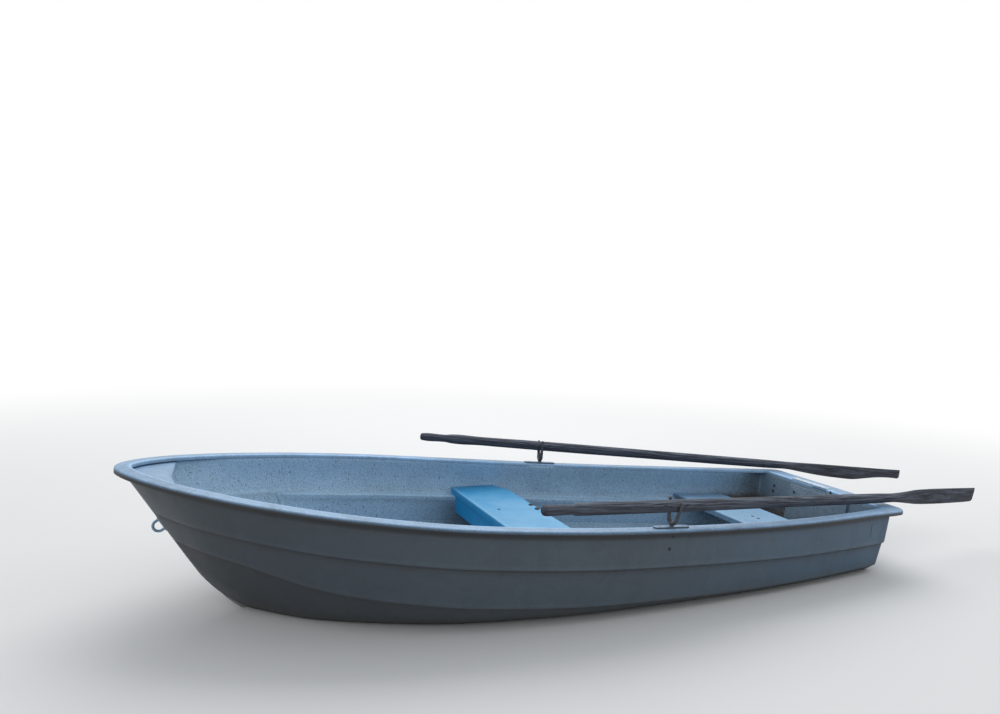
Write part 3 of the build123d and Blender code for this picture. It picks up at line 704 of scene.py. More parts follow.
def gelcoat(name, base, colours, paler, fade, streaks, speckle, stains, gloss=0.42, second=None):
    """Weathered gelcoat: cloudy fading, pepper and specks, runs of dirt down the face, stains, grime and painted
    shadow.

    The mesh's own values add to it: wear bleaches towards the paler colour, as wear and as painted light,
    shade darkens evenly as painted shade, grime and mud darken in patches as dirt and as painted shadow,
    scum grows at the waterline and lining turns the base into the second colour.
    """
    make = Finish(name)
    clouds = make.noise(make.place(), 2.6, 5.0, 0.6)
    runs = make.noise(make.place((17.0, 17.0, 1.3)), 1.0, 5.0, 0.62, 0.15)
    fine_runs = make.noise(make.place((75.0, 75.0, 3.0)), 1.0, 3.0, 0.6)
    pepper = make.noise(make.place(), 260.0, 3.0, 0.75)
    specks = make.noise(make.place((1.0, 1.0, 0.6)), 120.0, 4.0, 0.75, 0.3)
    spots = make.noise(make.place(), 38.0, 5.0, 0.7, 0.5)
    blotches = make.noise(make.place(), 7.0, 6.0, 0.68, 0.4)
    grime, scum, mud = make.value("grime"), make.value("scum"), make.value("mud")
    colour = make.mix(make.value("lining"), base, second or base)
    colour = make.mix(clouds.band(0.35, 0.68) * 0.22, colour, scaled(base, 0.55))
    # Wear and painted light: the mesh's wear value bleaches towards the paler colour, on worn places and on lit
    # edges and faces.
    worn_and_lit = (make.value("wear") + (blotches.band(0.40, 0.62) * 0.4 - 0.12)).clamped()
    colour = make.mix(worn_and_lit * fade, colour, paler)
    dirt = (runs.band(0.48, 0.74) * 0.6 + fine_runs.band(0.56, 0.80) * 0.3) * streaks
    colour = make.mix(dirt.clamped(), colour, scaled(colours.grime, 1.6))
    colour = make.mix(blotches.band(0.56, 0.75) * stains, colour, scaled(base, 0.5))
    colour = make.mix((0.5 - pepper).band(0.02, 0.16) * speckle * 0.75, colour, scaled(base, 1.9))
    colour = make.mix(pepper.band(0.52, 0.66) * speckle, colour, scaled(base, 0.36))
    colour = make.mix(specks.band(0.57, 0.70) * speckle * 1.2, colour, scaled(colours.grime, 1.3))
    colour = make.mix(spots.band(0.62, 0.74) * speckle * 0.8, colour, scaled(base, 0.32))
    colour = make.mix(make.value("shade"), colour, scaled(colours.grime, 0.30))
    # Dirt and painted shadow: the mesh's grime value, broken up by runs and spots, darkens towards the grime
    # colour.
    edge = (grime * (0.55 + runs * 0.9) + (grime * spots.band(0.45, 0.7) * 0.3)).clamped()
    colour = make.mix(edge, colour, colours.grime)
    # Mud and painted shade: the mesh's mud value darkens towards brown in patches.
    earth_and_shade = (mud * (0.35 + blotches * 0.8) + mud * specks.band(0.45, 0.62) * 0.5).clamped()
    colour = make.mix(earth_and_shade, colour, colours.mud)
    growth = (scum * (0.75 + blotches * 0.6)).clamped()
    colour = make.mix(growth, colour, colours.scum)
    rough = (gloss + specks * 0.12 + dirt * 0.25 + edge * 0.2 + growth * 0.2 + earth_and_shade * 0.3).clamped()
    height = specks * 0.25 + spots * 0.5 + edge * 0.4 + earth_and_shade * pepper
    return make.finish(colour, rough, make.bump(height, 0.22, 0.0012), Specular_IOR_Level=0.42)


def bare_wood(name, colours):
    """Weathered wood along the UV's second axis: silver streaks, long dark cracks and painted shade on the
    underside.

    A crack is where a long-drawn noise passes its middle value, kept only in places by a second noise.
    """
    make = Finish(name)
    grain = make.noise(make.place((150.0, 4.5, 1.0), "UV"), 1.0, 5.0, 0.62, 0.3)
    fine = make.noise(make.place((480.0, 16.0, 1.0), "UV"), 1.0, 4.0, 0.7)
    drawn = make.noise(make.place((62.0, 1.6, 1.0), "UV"), 1.0, 3.0, 0.5, 0.5)
    patches = make.noise(make.place((14.0, 5.5, 1.0), "UV"), 1.0, 4.0, 0.6)
    blots = make.noise(make.place(), 24.0, 4.0, 0.6)
    under_side = make.value("under")
    worn_and_lit = make.value("wear")
    colour = make.mix(grain.band(0.34, 0.66), scaled(colours.wood, 0.50), scaled(colours.wood, 1.55))
    colour = make.mix(fine.band(0.50, 0.68) * 0.55, colour, scaled(colours.wood, 0.42))
    colour = make.mix(patches.band(0.45, 0.68) * 0.45, colour, scaled(colours.wood, 0.6))
    bare = grain.band(0.46, 0.62) * (0.25 + patches.band(0.35, 0.6) * 0.9)
    # Silver streaks, more where the wear value is high: weathering, and on the oar's top also painted light.
    silver = (bare * (0.25 + worn_and_lit * 0.95)).clamped()
    colour = make.mix(silver * 0.8, colour, colours.wood_pale)
    # Darkening by the under value: painted shade on the underside, and a darker blade and handle end.
    darkened = (under_side * (0.35 + patches * 0.5)).clamped()
    colour = make.mix(darkened, colour, scaled(colours.wood_dark, 1.5))
    near = (drawn - 0.5).math("ABSOLUTE")
    split = (1 - near.band(0.004, 0.022)) * patches.band(0.40, 0.52)
    colour = make.mix(split * 0.92, colour, colours.wood_dark)
    colour = make.mix(blots.band(0.64, 0.76) * 0.5, colour, colours.wood_dark)
    rough = (0.78 - worn_and_lit * 0.12 + fine * 0.10).clamped()
    height = grain * 0.7 + fine * 0.35 - split * 1.2
    return make.finish(colour, rough, make.bump(height, 0.7, 0.0018), Specular_IOR_Level=0.28)


def old_steel(name, base, colours, rust, metallic=0.85):
    """Dull metal with rust that spreads from noise: rough where it rusts, metallic where it is bare."""
    make = Finish(name)
    broad = make.noise(make.place(), 60.0, 5.0, 0.65, 0.3)
    fine = make.noise(make.place(), 420.0, 4.0, 0.7)
    worn_and_lit = make.value("wear")
    flakes = broad.band(0.66 - 0.30 * rust, 0.84 - 0.22 * rust) + fine.band(0.60, 0.72) * 0.3 * rust
    rusted = (flakes - worn_and_lit * 0.4).clamped()
    plain = make.mix(fine.band(0.35, 0.7), scaled(base, 0.65), scaled(base, 1.25))
    brown = make.mix(fine.band(0.3, 0.7), scaled(colours.rust, 0.55), scaled(colours.rust, 1.5))
    colour = make.mix(rusted, plain, brown)
    colour = make.mix(make.value("shade"), colour, colours.grime)
    metal = ((1 - rusted) * metallic).clamped()
    rough = (0.46 + rusted * 0.38 + fine * 0.12).clamped()
    return make.finish(colour, rough, make.bump(broad * 0.4 + fine * 0.6, 0.4, 0.0006), Metallic=metal)


def dull_metal(name, base, dark, metallic=0.9, gloss=0.36):
    """Bare metal gone dull: scratches along it, oxide clouds and dark specks."""
    make = Finish(name)
    clouds = make.noise(make.place(), 46.0, 5.0, 0.6)
    scratches = make.noise(make.place((40.0, 700.0, 700.0)), 1.0, 2.0, 0.6)
    specks = make.noise(make.place(), 420.0, 3.0, 0.6)
    colour = make.mix(clouds.band(0.35, 0.65), base, scaled(base, 0.7))
    colour = make.mix(specks.band(0.6, 0.7) * 0.6, colour, dark)
    rough = (gloss + clouds * 0.25 + scratches * 0.12).clamped()
    normal = make.bump(scratches * 0.5 + specks * 0.3, 0.3, 0.0004)
    return make.finish(colour, rough, normal, Metallic=metallic)


def worn_plastic(name, colours):
    """Scuffed keel strip of grey plastic with scratches along the boat."""
    make = Finish(name)
    clouds = make.noise(make.place(), 11.0, 5.0, 0.6)
    scuffs = make.noise(make.place((9.0, 260.0, 260.0)), 1.0, 4.0, 0.65)
    colour = make.mix(clouds.band(0.35, 0.65), (0.17, 0.175, 0.17), (0.26, 0.265, 0.26))
    colour = make.mix(scuffs.band(0.55, 0.68) * 0.7, colour, (0.40, 0.41, 0.40))
    colour = make.mix(clouds.band(0.55, 0.8) * 0.6, colour, colours.scum)
    return make.finish(colour, (0.55 + scuffs * 0.3).clamped(), make.bump(scuffs, 0.4, 0.0008))


MATERIALS = {}


def material(name):
    """A finish by its name, made once."""
    if name not in MATERIALS:
        colours = bpy.context.scene.boat_colours
        makers = {
            "topsides": lambda: gelcoat(
                "weathered topsides", colours.topsides, colours, scaled(colours.topsides, 1.5),
                fade=0.5, streaks=0.42, speckle=0.20, stains=0.35, second=colours.quarters,
            ),
            "rim": lambda: gelcoat(
                "weathered rim", colours.rim, colours, scaled(colours.rim, 1.9),
                fade=0.9, streaks=0.30, speckle=0.50, stains=0.30, gloss=0.36, second=colours.inside,
            ),
            "inside": lambda: gelcoat(
                "speckled inside", colours.inside, colours, scaled(colours.inside, 1.35),
                fade=0.5, streaks=0.12, speckle=0.72, stains=0.22, gloss=0.5,
            ),
            "thwart": lambda: gelcoat(
                "faded blue", colours.thwart, colours, colours.thwart_bleached_and_lit,
                fade=1.0, streaks=0.05, speckle=0.07, stains=0.10, gloss=0.38,
            ),
            "bench": lambda: gelcoat(
                "weathered bench", colours.bench, colours, scaled(colours.bench, 1.3),
                fade=0.5, streaks=0.12, speckle=0.55, stains=0.25, gloss=0.4,
            ),
            "wood": lambda: bare_wood("weathered wood", colours),
            "horn": lambda: old_steel("rusted horn", colours.steel, colours, 0.55, 0.6),
            "bolt": lambda: old_steel("blackened bolt", scaled(colours.steel, 0.4), colours, 0.3, 0.4),
            "socket": lambda: old_steel("zinc plate", colours.zinc, colours, 0.10, 0.35),
            "aluminium": lambda: dull_metal("dull aluminium", colours.aluminium, colours.grime, 0.3, 0.45),
            "brass": lambda: dull_metal("tarnished brass", colours.brass, (0.06, 0.05, 0.03)),
            "plastic": lambda: worn_plastic("worn keel plastic", colours),
        }
        MATERIALS[name] = makers[name]()
    return MATERIALS[name]


def the_hull():
    """The hull's form at the scene's sizes."""
    return Hull(bpy.context.scene.boat_sizes)


SIDES = (("port", 1), ("starboard", -1))


def outside_look(hull, rows, points):
    """Values on the outer skin: painted shadow with dirt under the rim and both laps, growth at the waterline,
    wear and a painted highlight on the edges over the laps, painted shade on the fore body and bluer quarters."""
    size = hull.size
    x, z = points[..., 0], points[..., 2]
    sheer = hull.sheer(rows[:, SHEER] * hull.length)[:, None]
    rim_edge = sheer - size.rim_depth
    lap1 = sheer - size.lap1_drop - 0.5 * size.lap_ramp
    lap2 = sheer - (size.lap2_drop * rows[:, DROP])[:, None] - 0.5 * size.lap_ramp
    # Dark lines under both laps and under the rim: dirt and painted shadow.
    grime = 0.7 * under(lap1, z, 0.009) + 0.7 * under(lap2, z, 0.009)
    grime += 0.5 * under(rim_edge + 0.004, z, 0.020)
    grime += 0.16 * under(lap1, z, 0.06) + 0.20 * under(lap2, z, 0.05)
    # Painted shade: darker towards the bow, below the lower lap, in a band under the rim and just under both laps.
    shade = 0.48 * ramp(x, 0.15, 1.1) + 0.22 * ramp(lap2 - z, 0, 0.01)
    shade += 0.96 * ramp(z, rim_edge - 0.017, 0.005)
    shade += 0.5 * under(lap1, z, 0.007) + 0.5 * under(lap2, z, 0.007)
    return {
        "grime": grime,
        "shade": np.clip(shade, 0, 1),
        "scum": 0.95 * ramp(0.085 - z, 0, 0.085) ** 1.5,
        # Lighter just above each lap's edge: wear and a painted highlight.
        "wear": 0.8 * close_to(z, lap1 + 0.008, 0.006) + 0.6 * close_to(z, lap2 + 0.008, 0.006),
        "lining": ramp(-x, 0.2, 1.1),
    }


def inside_look(hull, points):
    """Values on the inner skin: painted light towards the bow and the rim, mud in the stern and on the ledge's
    back, mud and painted shade under the ledge, damp dirt low down, painted shade in the stern and painted shadow
    by the thwart."""
    x, z = points[..., 0], points[..., 2]
    ledge = hull.shelf(x)
    aft = ramp(-x, 0.95, 0.45)
    mud = 0.75 * ramp(-x, 1.22, 0.2) * ramp(0.17 - z, 0, 0.12)
    mud += 1.2 * ramp(-x, 1.18, 0.1) * close_to(z, ledge + 0.012, 0.018)
    mud += 0.45 * np.exp(-(((x + 1.46) / 0.065) ** 2) - ((z - ledge - 0.080) / 0.060) ** 2)
    # Darker under the ledge, more so aft: dirt and painted shade.
    mud += 0.30 * under(ledge - 0.02, z, 0.09) * (0.4 + aft)
    stern_shade = 0.38 * ramp(-x, 1.43, 0.03) + 0.18 * ramp(-x, 0.9, 0.5)
    return {
        "grime": 0.30 * close_to(z, ledge + 0.004, 0.008),
        "shade": below_thwart(x, ledge - z) + stern_shade,
        "scum": ramp(0.12 - z, 0, 0.14) * (0.20 + 0.3 * aft),
        # Painted light: lighter high on the wall and towards the bow.
        "wear": 0.5 * ramp(z, ledge, 0.15) + 0.6 * ramp(x, 0, 0.9),
        "mud": mud,
        "inside": 1.0,
    }


def read(items, field, kind):
    """One number of each item, as an array."""
    numbers = np.empty(len(items), kind)
    items.foreach_get(field, numbers)
    return numbers


class MakeShell(bpy.types.Operator):
    """Adds the lapped hull moulding with its transom, from outside to inside in one closed skin"""

    bl_idname = "boat.make_shell"
    bl_label = "Hull shell"

    def execute(self, context):
        hull = the_hull()
        size = hull.size
        outer_reaches = (0, 0.005, 0.006, 0.005, 0.008, 0.08, 0.08, 0.08, 0.006, 0)
        inner_reaches = (0, 0.012, 0.010, 0.014, 0.012, 0.08, 0.08, 0.08, 0.02, 0)
        outer_nose, inner_nose, inner_corner = (0.9925, 0.9955), (0.983, 0.990), 0.014
        outer, rows = skin_sheet(hull, 0.0, hull.corner_depth, size.corner_radius, outer_reaches, outer_nose)
        inner, _ = skin_sheet(hull, size.wall, -hull.transom_inside, inner_corner, inner_reaches, inner_nose)
        outside_values, inside_values = outside_look(hull, rows, outer), inside_look(hull, inner)
        values = {}
        for key in {**outside_values, **inside_values}:
            outside = np.broadcast_to(outside_values.get(key, 0.0), outer.shape[:2])[:, ::-1]
            inside = np.broadcast_to(inside_values.get(key, 0.0), inner.shape[:2])
            values[key] = np.concatenate([outside, inside], 1)
        patch = Patch(np.concatenate([outer[:, ::-1], inner], 1), **values)
        nodes = [n for n in frame["nodes"] if n.startswith(("upper_strake", "lower_strake", "bottom"))]
        shell = make_piece(
            "hull_shell", [patch, patch.mirrored()], "boat", material("topsides"),
            (*nodes, "transom", "stem"),
        )
        mesh = shell.data
        mesh.materials.append(material("inside"))
        inside = read(mesh.attributes["inside"].data, "value", np.float32)
        corners = read(mesh.loops, "vertex_index", np.int32)
        starts = read(mesh.polygons, "loop_start", np.int32)
        lining = np.minimum.reduceat(inside[corners], starts) > 0.5
        mesh.polygons.foreach_set("material_index", lining.astype(np.int32))
        return {"FINISHED"}


class MakeRim(bpy.types.Operator):
    """Adds the rolled gunwale rim: a rounded section carried all round the sheer"""

    bl_idname = "boat.make_rim"
    bl_label = "Gunwale rim"

    def execute(self, context):
        hull = the_hull()
        size = hull.size
        path, outward = hull.sheer_path()
        radius = size.corner_radius
        centre = path[0] - outward[0] * radius
        angle = np.linspace(math.pi, math.atan2(outward[0, 1], outward[0, 0]), 16)[:-1]
        spoke = np.stack([np.cos(angle), np.sin(angle), 0 * angle], 1)
        corner = centre + radius * spoke
        across = np.linspace(0, centre[1], 30)[:-1]
        stern = np.stack([0 * across + centre[0] - radius, across, 0 * across + centre[2]], 1)
        path = np.concatenate([stern, corner, path])
        outward = np.concatenate([np.tile((-1.0, 0.0, 0.0), (len(stern), 1)), spoke, outward])
        out, inside, wall = size.rim_outside, -size.rim_inside, size.rim_wall
        outline = np.array([
            (inside, -size.rim_inner_depth), (inside + wall, -size.rim_inner_depth),
            (inside + wall, -size.rim_thickness), (out - wall, -size.rim_thickness),
            (out - wall, -size.rim_depth), (out, -size.rim_depth),
            (out, -0.0015), (out - 0.022, 0.0), (inside + 0.018, 0.0), (inside, -0.0012),
        ])
        reaches = (0.002, 0.002, 0.002, 0.002, 0.002, 0.003, 0.0085, 0.012, 0.012, 0.007)
        section = refined(rounded(outline, reaches, True, 6), 0.006)
        blend, fall = 0.20, 0.0045
        near = ramp(corner[-1, 0] + blend - path[:, :1], 0, blend)
        stern_share = near**2 * (3 - 2 * near)
        outer_part = ramp(section[:, 0], -0.010, out + 0.010 - wall)
        inner_part = ramp(-section[:, 0], 0.014, size.rim_inside - wall - 0.014)
        narrowing = size.stern_narrowing * inner_part * -outward[:, :1]
        shift = stern_share * (size.stern_overhang * outer_part + narrowing)
        lift = section[:, 1] - fall * stern_share * outer_part
        points = path[:, None] + section[:, :1] * outward[:, None] + lift[..., None] * UP
        points[..., 0] -= shift
        uv = np.stack(np.broadcast_arrays(distances(path)[:, None], distances(section)[None]), -1)
        height = section[:, 1]
        face = ramp(section[:, 0], out - 0.006, 0.006)
        bow = ramp(points[..., 0], 0.3, 1.1)
        shade = face * (0.62 * ramp(-height, 0.002, 0.004) + 0.38 * ramp(-height, 0.009, 0.003) + 0.25 * bow)
        _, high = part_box("transom_clamp_strip")
        beside = 1 - ramp(np.abs(points[..., 0] - high.x - 0.002), 0, 0.004)
        shade = shade + 0.9 * beside * (np.abs(points[..., 1]) < high.y) * (stern_share > 0.9)
        lip = ramp(inside + 0.0045 - section[:, 0], 0, 0.004)
        lining = lip * ramp(0.001 - height, 0, 0.004)
        # Wear and a painted highlight: a bright line along the top's inner edge, and the rest of the top a little
        # lighter.
        wear = 0.12 + 0.88 * np.exp(-(((section[:, 0] - inside - 0.005) / 0.006) ** 2))
        wear = np.where(height > -0.006, wear, 0.0)
        # Towards the bow the grime value darkens the whole rim a little as painted shade.
        patch = Patch(points, uv, grime=0.10 * bow, shade=np.clip(shade, 0, 1), wear=wear, lining=lining)
        make_piece(
            "gunwale_rim_roll", [patch, patch.mirrored()], "boat", material("rim"),
            ("gunwale_rim_port", "gunwale_rim_starboard", "gunwale_rim_stern"),
        )
        return {"FINISHED"}


def side_strip(hull, shares, section, start):
    """Strip along the skin's inside from sections (stations, corners, 2), closed round and at its ends."""
    rows = hull.rows(shares)
    points = hull.in_space(rows, section)
    first = hull.in_space(rows[:1], section[:1], start)
    return capped(np.concatenate([first, points]))


class MakeRisers(bpy.types.Operator):
    """Adds the moulded seat ledge along each side, its corners rounded and its fore end run out"""

    bl_idname = "boat.make_risers"
    bl_label = "Seat risers"

    def execute(self, context):
        hull = the_hull()
        size = hull.size
        shares = np.linspace(STATIONS[0, SHEER], size.riser_end / hull.length, 120)
        rows = hull.rows(shares)
        shelf = hull.sheer(rows[:, SHEER] * hull.length) - size.riser_drop
        ease = 1 - ramp(shares * hull.length, size.riser_end - 0.40, 0.40) ** 2
        width = size.riser_width * (0.03 + 0.97 * ease)
        foot = shelf - size.riser_height
        skin = [
            hull.half_width(hull.place(rows, level[:, None])[:, 0], level, size.wall) - SEAT_GAP
            for level in (shelf + 0.010 * ease, shelf, foot)
        ]
        outline = np.stack([
            np.stack([skin[0], shelf + 0.010 * ease], 1),
            np.stack([skin[1] - 0.004 * ease, shelf], 1),
            np.stack([skin[1] - width, shelf], 1),
            np.stack([skin[1] - width, shelf - size.riser_edge], 1),
            np.stack([skin[2], foot], 1),
        ], 1)
        section = refined(rounded(outline, (0.001, 0.009, 0.007, 0.010, 0.001), True, 5), 0.012)
        points = side_strip(hull, shares, section, hull.transom_inside + SEAT_GAP)
        level = np.concatenate([shelf[:1], shelf[:1], shelf, shelf[-1:]])[:, None]
        drop = level - points[..., 2]
        aft = ramp(-points[..., 0], 0.95, 0.45)
        # Just under the ledge's edge dirt and painted shadow, along the edge wear and a painted highlight, over
        # the face below it painted light, towards the stern mud with painted shade on the face and litter on the
        # ledge.
        grime = 0.35 * close_to(drop, size.riser_edge + 0.010, 0.010)
        wear = 0.9 * close_to(drop, 0, 0.006) + 0.9 * ramp(drop, 0.004, 0.01)
        mud = 0.55 * aft * ramp(drop, 0, 0.02) + 0.05 * ramp(drop, 0.02, 0.04)
        mud += 0.7 * ramp(-points[..., 0], 1.18, 0.1) * (drop < 0.003)
        patch = Patch(points, grime=grime, wear=wear, mud=mud, shade=below_thwart(points[..., 0], drop))
        for name, side in SIDES:
            piece = patch if side == 1 else patch.mirrored()
            nodes = (f"riser_{name}",)
            make_piece(f"seat_ledge_{name}", [piece], "boat", material("inside"), nodes)
        return {"FINISHED"}


def seat_points(hull, section, low, ends, rows=64):
    """Seat that spans the boat: a closed side view (points, 2) of place and height, drawn from side to side.

    Every point's width is its own distance to what it meets: the skin above the ledge, and the
    ledge's inner edge below it. low marks the points below the ledge.
    """
    x, z = section[:, 0], section[:, 1]
    reach = np.where(low, hull.ledge_edge(x) - FIT_GAP, hull.half_width(x, z, hull.size.wall) - FIT_GAP)
    reach = np.minimum(reach, ends(x))
    share = np.sin(np.linspace(-np.pi / 2, np.pi / 2, rows))
    share = 0.5 * share + 0.5 * np.linspace(-1, 1, rows)
    grid = np.stack(np.broadcast_arrays(x[None], share[:, None] * reach[None], z[None]), -1)
    return capped(grid)


class MakeThwart(bpy.types.Operator):
    """Adds the blue moulded thwart: a box seat open below, notched over the ledges, with its screws"""

    bl_idname = "boat.make_thwart"
    bl_label = "Thwart"

    cut_along: size("Cut along", 0.045, "Length of the cut at the aft corners")
    cut_across: size("Cut across", 0.130, "Width of the cut at the aft corners")

    def execute(self, context):
        hull = the_hull()
        low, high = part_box("thwart")
        aft, fore, top, foot = low.x, high.x, high.z, low.z
        wall = hull.size.wall
        shelf_fore, shelf_aft = (float(hull.shelf(place)) + SEAT_GAP + 0.0004 for place in (fore, aft))
        lip, lip_depth, lip_fall, crown = 0.004, 0.030, 0.003, 0.05
        corners = [
            (fore - lip, foot, 1), (fore - lip, shelf_fore, 1), (fore - lip, shelf_fore, 0),
            (fore - lip, top - lip_depth, 0), (fore, top - lip_depth - lip_fall, 0), (fore, top, 0),
            (aft, top, 0), (aft, top - lip_depth - lip_fall, 0), (aft + lip, top - lip_depth, 0),
            (aft + lip, shelf_aft, 0), (aft + lip, shelf_aft, 1), (aft + lip, foot, 1),
            (aft + lip + wall, foot, 1), (aft + lip + wall, top - wall - crown, 1),
            (fore - lip - wall, top - wall - crown, 1), (fore - lip - wall, foot, 1),
        ]
        reaches = (
            0.001, 0, 0, 0.003, 0.003, 0.005, 0.010, 0.003,
            0.003, 0, 0, 0.001, 0.001, 0.004, 0.004, 0.001,
        )
        outline = np.array([corner[:2] for corner in corners])
        flags = np.array([corner[2] for corner in corners], float)
        steps = 6
        closed = rounded(outline, reaches, True, steps)
        marks = np.concatenate([np.repeat(flags, steps + 1), flags[:1]])
        # The marks ride along as a third coordinate, too small to change a length.
        tiny = 1e-6
        line = refined(np.column_stack([closed, marks * tiny]), 0.012)
        section, low_side = line[:, :2], line[:, 2] > 0.5 * tiny
        half = float(hull.half_width(np.array([aft]), np.array([top]), wall)[0])

        def ends(x):
            """Half width of the top: cut off at a slant over the aft corners, free ahead of them."""
            cut = self.cut_across * (1 - ramp(x, aft, self.cut_along))
            return half - cut + np.where(x > aft + self.cut_along, 1.0, 0.0)

        points = seat_points(hull, section, low_side, ends)
        x, y, z = points[..., 0], points[..., 1], points[..., 2]
        # The top is lighter, for sun-bleaching and as a painted reflection of the sky, increasingly towards +y;
        # its front edge gets wear and a painted highlight. Darker under the nosing's edge and low down, as dirt
        # and painted shadow, and on the top by the hull, as dirt.
        on_top = ramp(z, top - 0.012, 0.010)
        edge = close_to(x, fore - 0.004, 0.005) * ramp(z, top - 0.008, 0.006)
        near = 0.22 + 0.78 * ramp(y, -0.45, 0.45)
        wear = on_top * near * (0.66 + 0.22 * ramp(fore - x, 0, 0.25)) + 0.9 * edge
        skin = ramp(np.abs(y), 0.46, 0.10)
        grime = 0.25 * skin * on_top + 0.20 * ramp(top - 0.090 - z, 0, 0.03)
        grime += 0.35 * close_to(z, top - lip_depth - lip_fall, 0.003)
        patch = Patch(points, wear=np.clip(wear, 0, 1), grime=grime)
        make_piece("blue_thwart", [patch], "boat", material("thwart"), ("thwart",), 40)
        screws, bolts = ((0.098, -0.155), (0.098, 0.155)), ((-0.067, -0.120), (-0.069, -0.187))
        heads = [head((*place, top), UP, 0.0068, 0.0025) for place in screws]
        heads += [head((*place, top), UP, 0.0105, 0.007) for place in bolts]
        make_piece("thwart_screws", heads, "boat", material("bolt"))
        return {"FINISHED"}


class MakeBench(bpy.types.Operator):
    """Adds the white stern bench: a slab on both ledges with rounded edges and four bolts"""

    bl_idname = "boat.make_bench"
    bl_label = "Stern bench"

    def execute(self, context):
        hull = the_hull()
        low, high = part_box("stern_bench")
        thick = 0.028
        aft, fore = low.x + 0.001, high.x
        tops = [float(hull.shelf(place)) + SEAT_GAP + 0.0008 + thick for place in (aft, fore)]
        bottoms = [top - thick for top in tops]
        outline = np.array([(fore, bottoms[1]), (fore, tops[1]), (aft, tops[0]), (aft, bottoms[0])])
        section = refined(rounded(outline, (0.002, 0.008, 0.008, 0.002), True, 5), 0.014)
        points = seat_points(hull, section, np.zeros(len(section), bool), lambda x: x * 0 + 1.0)
        x, z = points[..., 0], points[..., 2]
        top = tops[0] + (x - aft) * (tops[1] - tops[0]) / (fore - aft)
        # The top is lighter with wear, most at its fore and aft edges; the sides and underside are darker as
        # painted shade, and the ends by the hull darker with dirt.
        on_top = ramp(z, top - 0.008, 0.006)
        edge = np.maximum(close_to(x, fore - 0.006, 0.008), close_to(x, aft + 0.006, 0.008))
        grime = 0.30 * (1 - on_top) + 0.35 * ramp(np.abs(points[..., 1]), 0.36, 0.08)
        patch = Patch(points, wear=on_top * (0.6 + 0.4 * edge), grime=grime)
        make_piece("bench_slab", [patch], "boat", material("bench"), ("stern_bench",), 40)
        normal = Vector((tops[0] - tops[1], 0, fore - aft)).normalized()
        bolts = []
        for place, across in ((-1.121, -0.151), (-1.161, -0.020), (-1.121, 0.151), (-1.161, 0.020)):
            height = tops[0] + (place - aft) * (tops[1] - tops[0]) / (fore - aft)
            bolts.append(head((place, across, height), normal, 0.0085, 0.0016))
        make_piece("bench_bolts", bolts, "boat", material("bolt"))
        return {"FINISHED"}


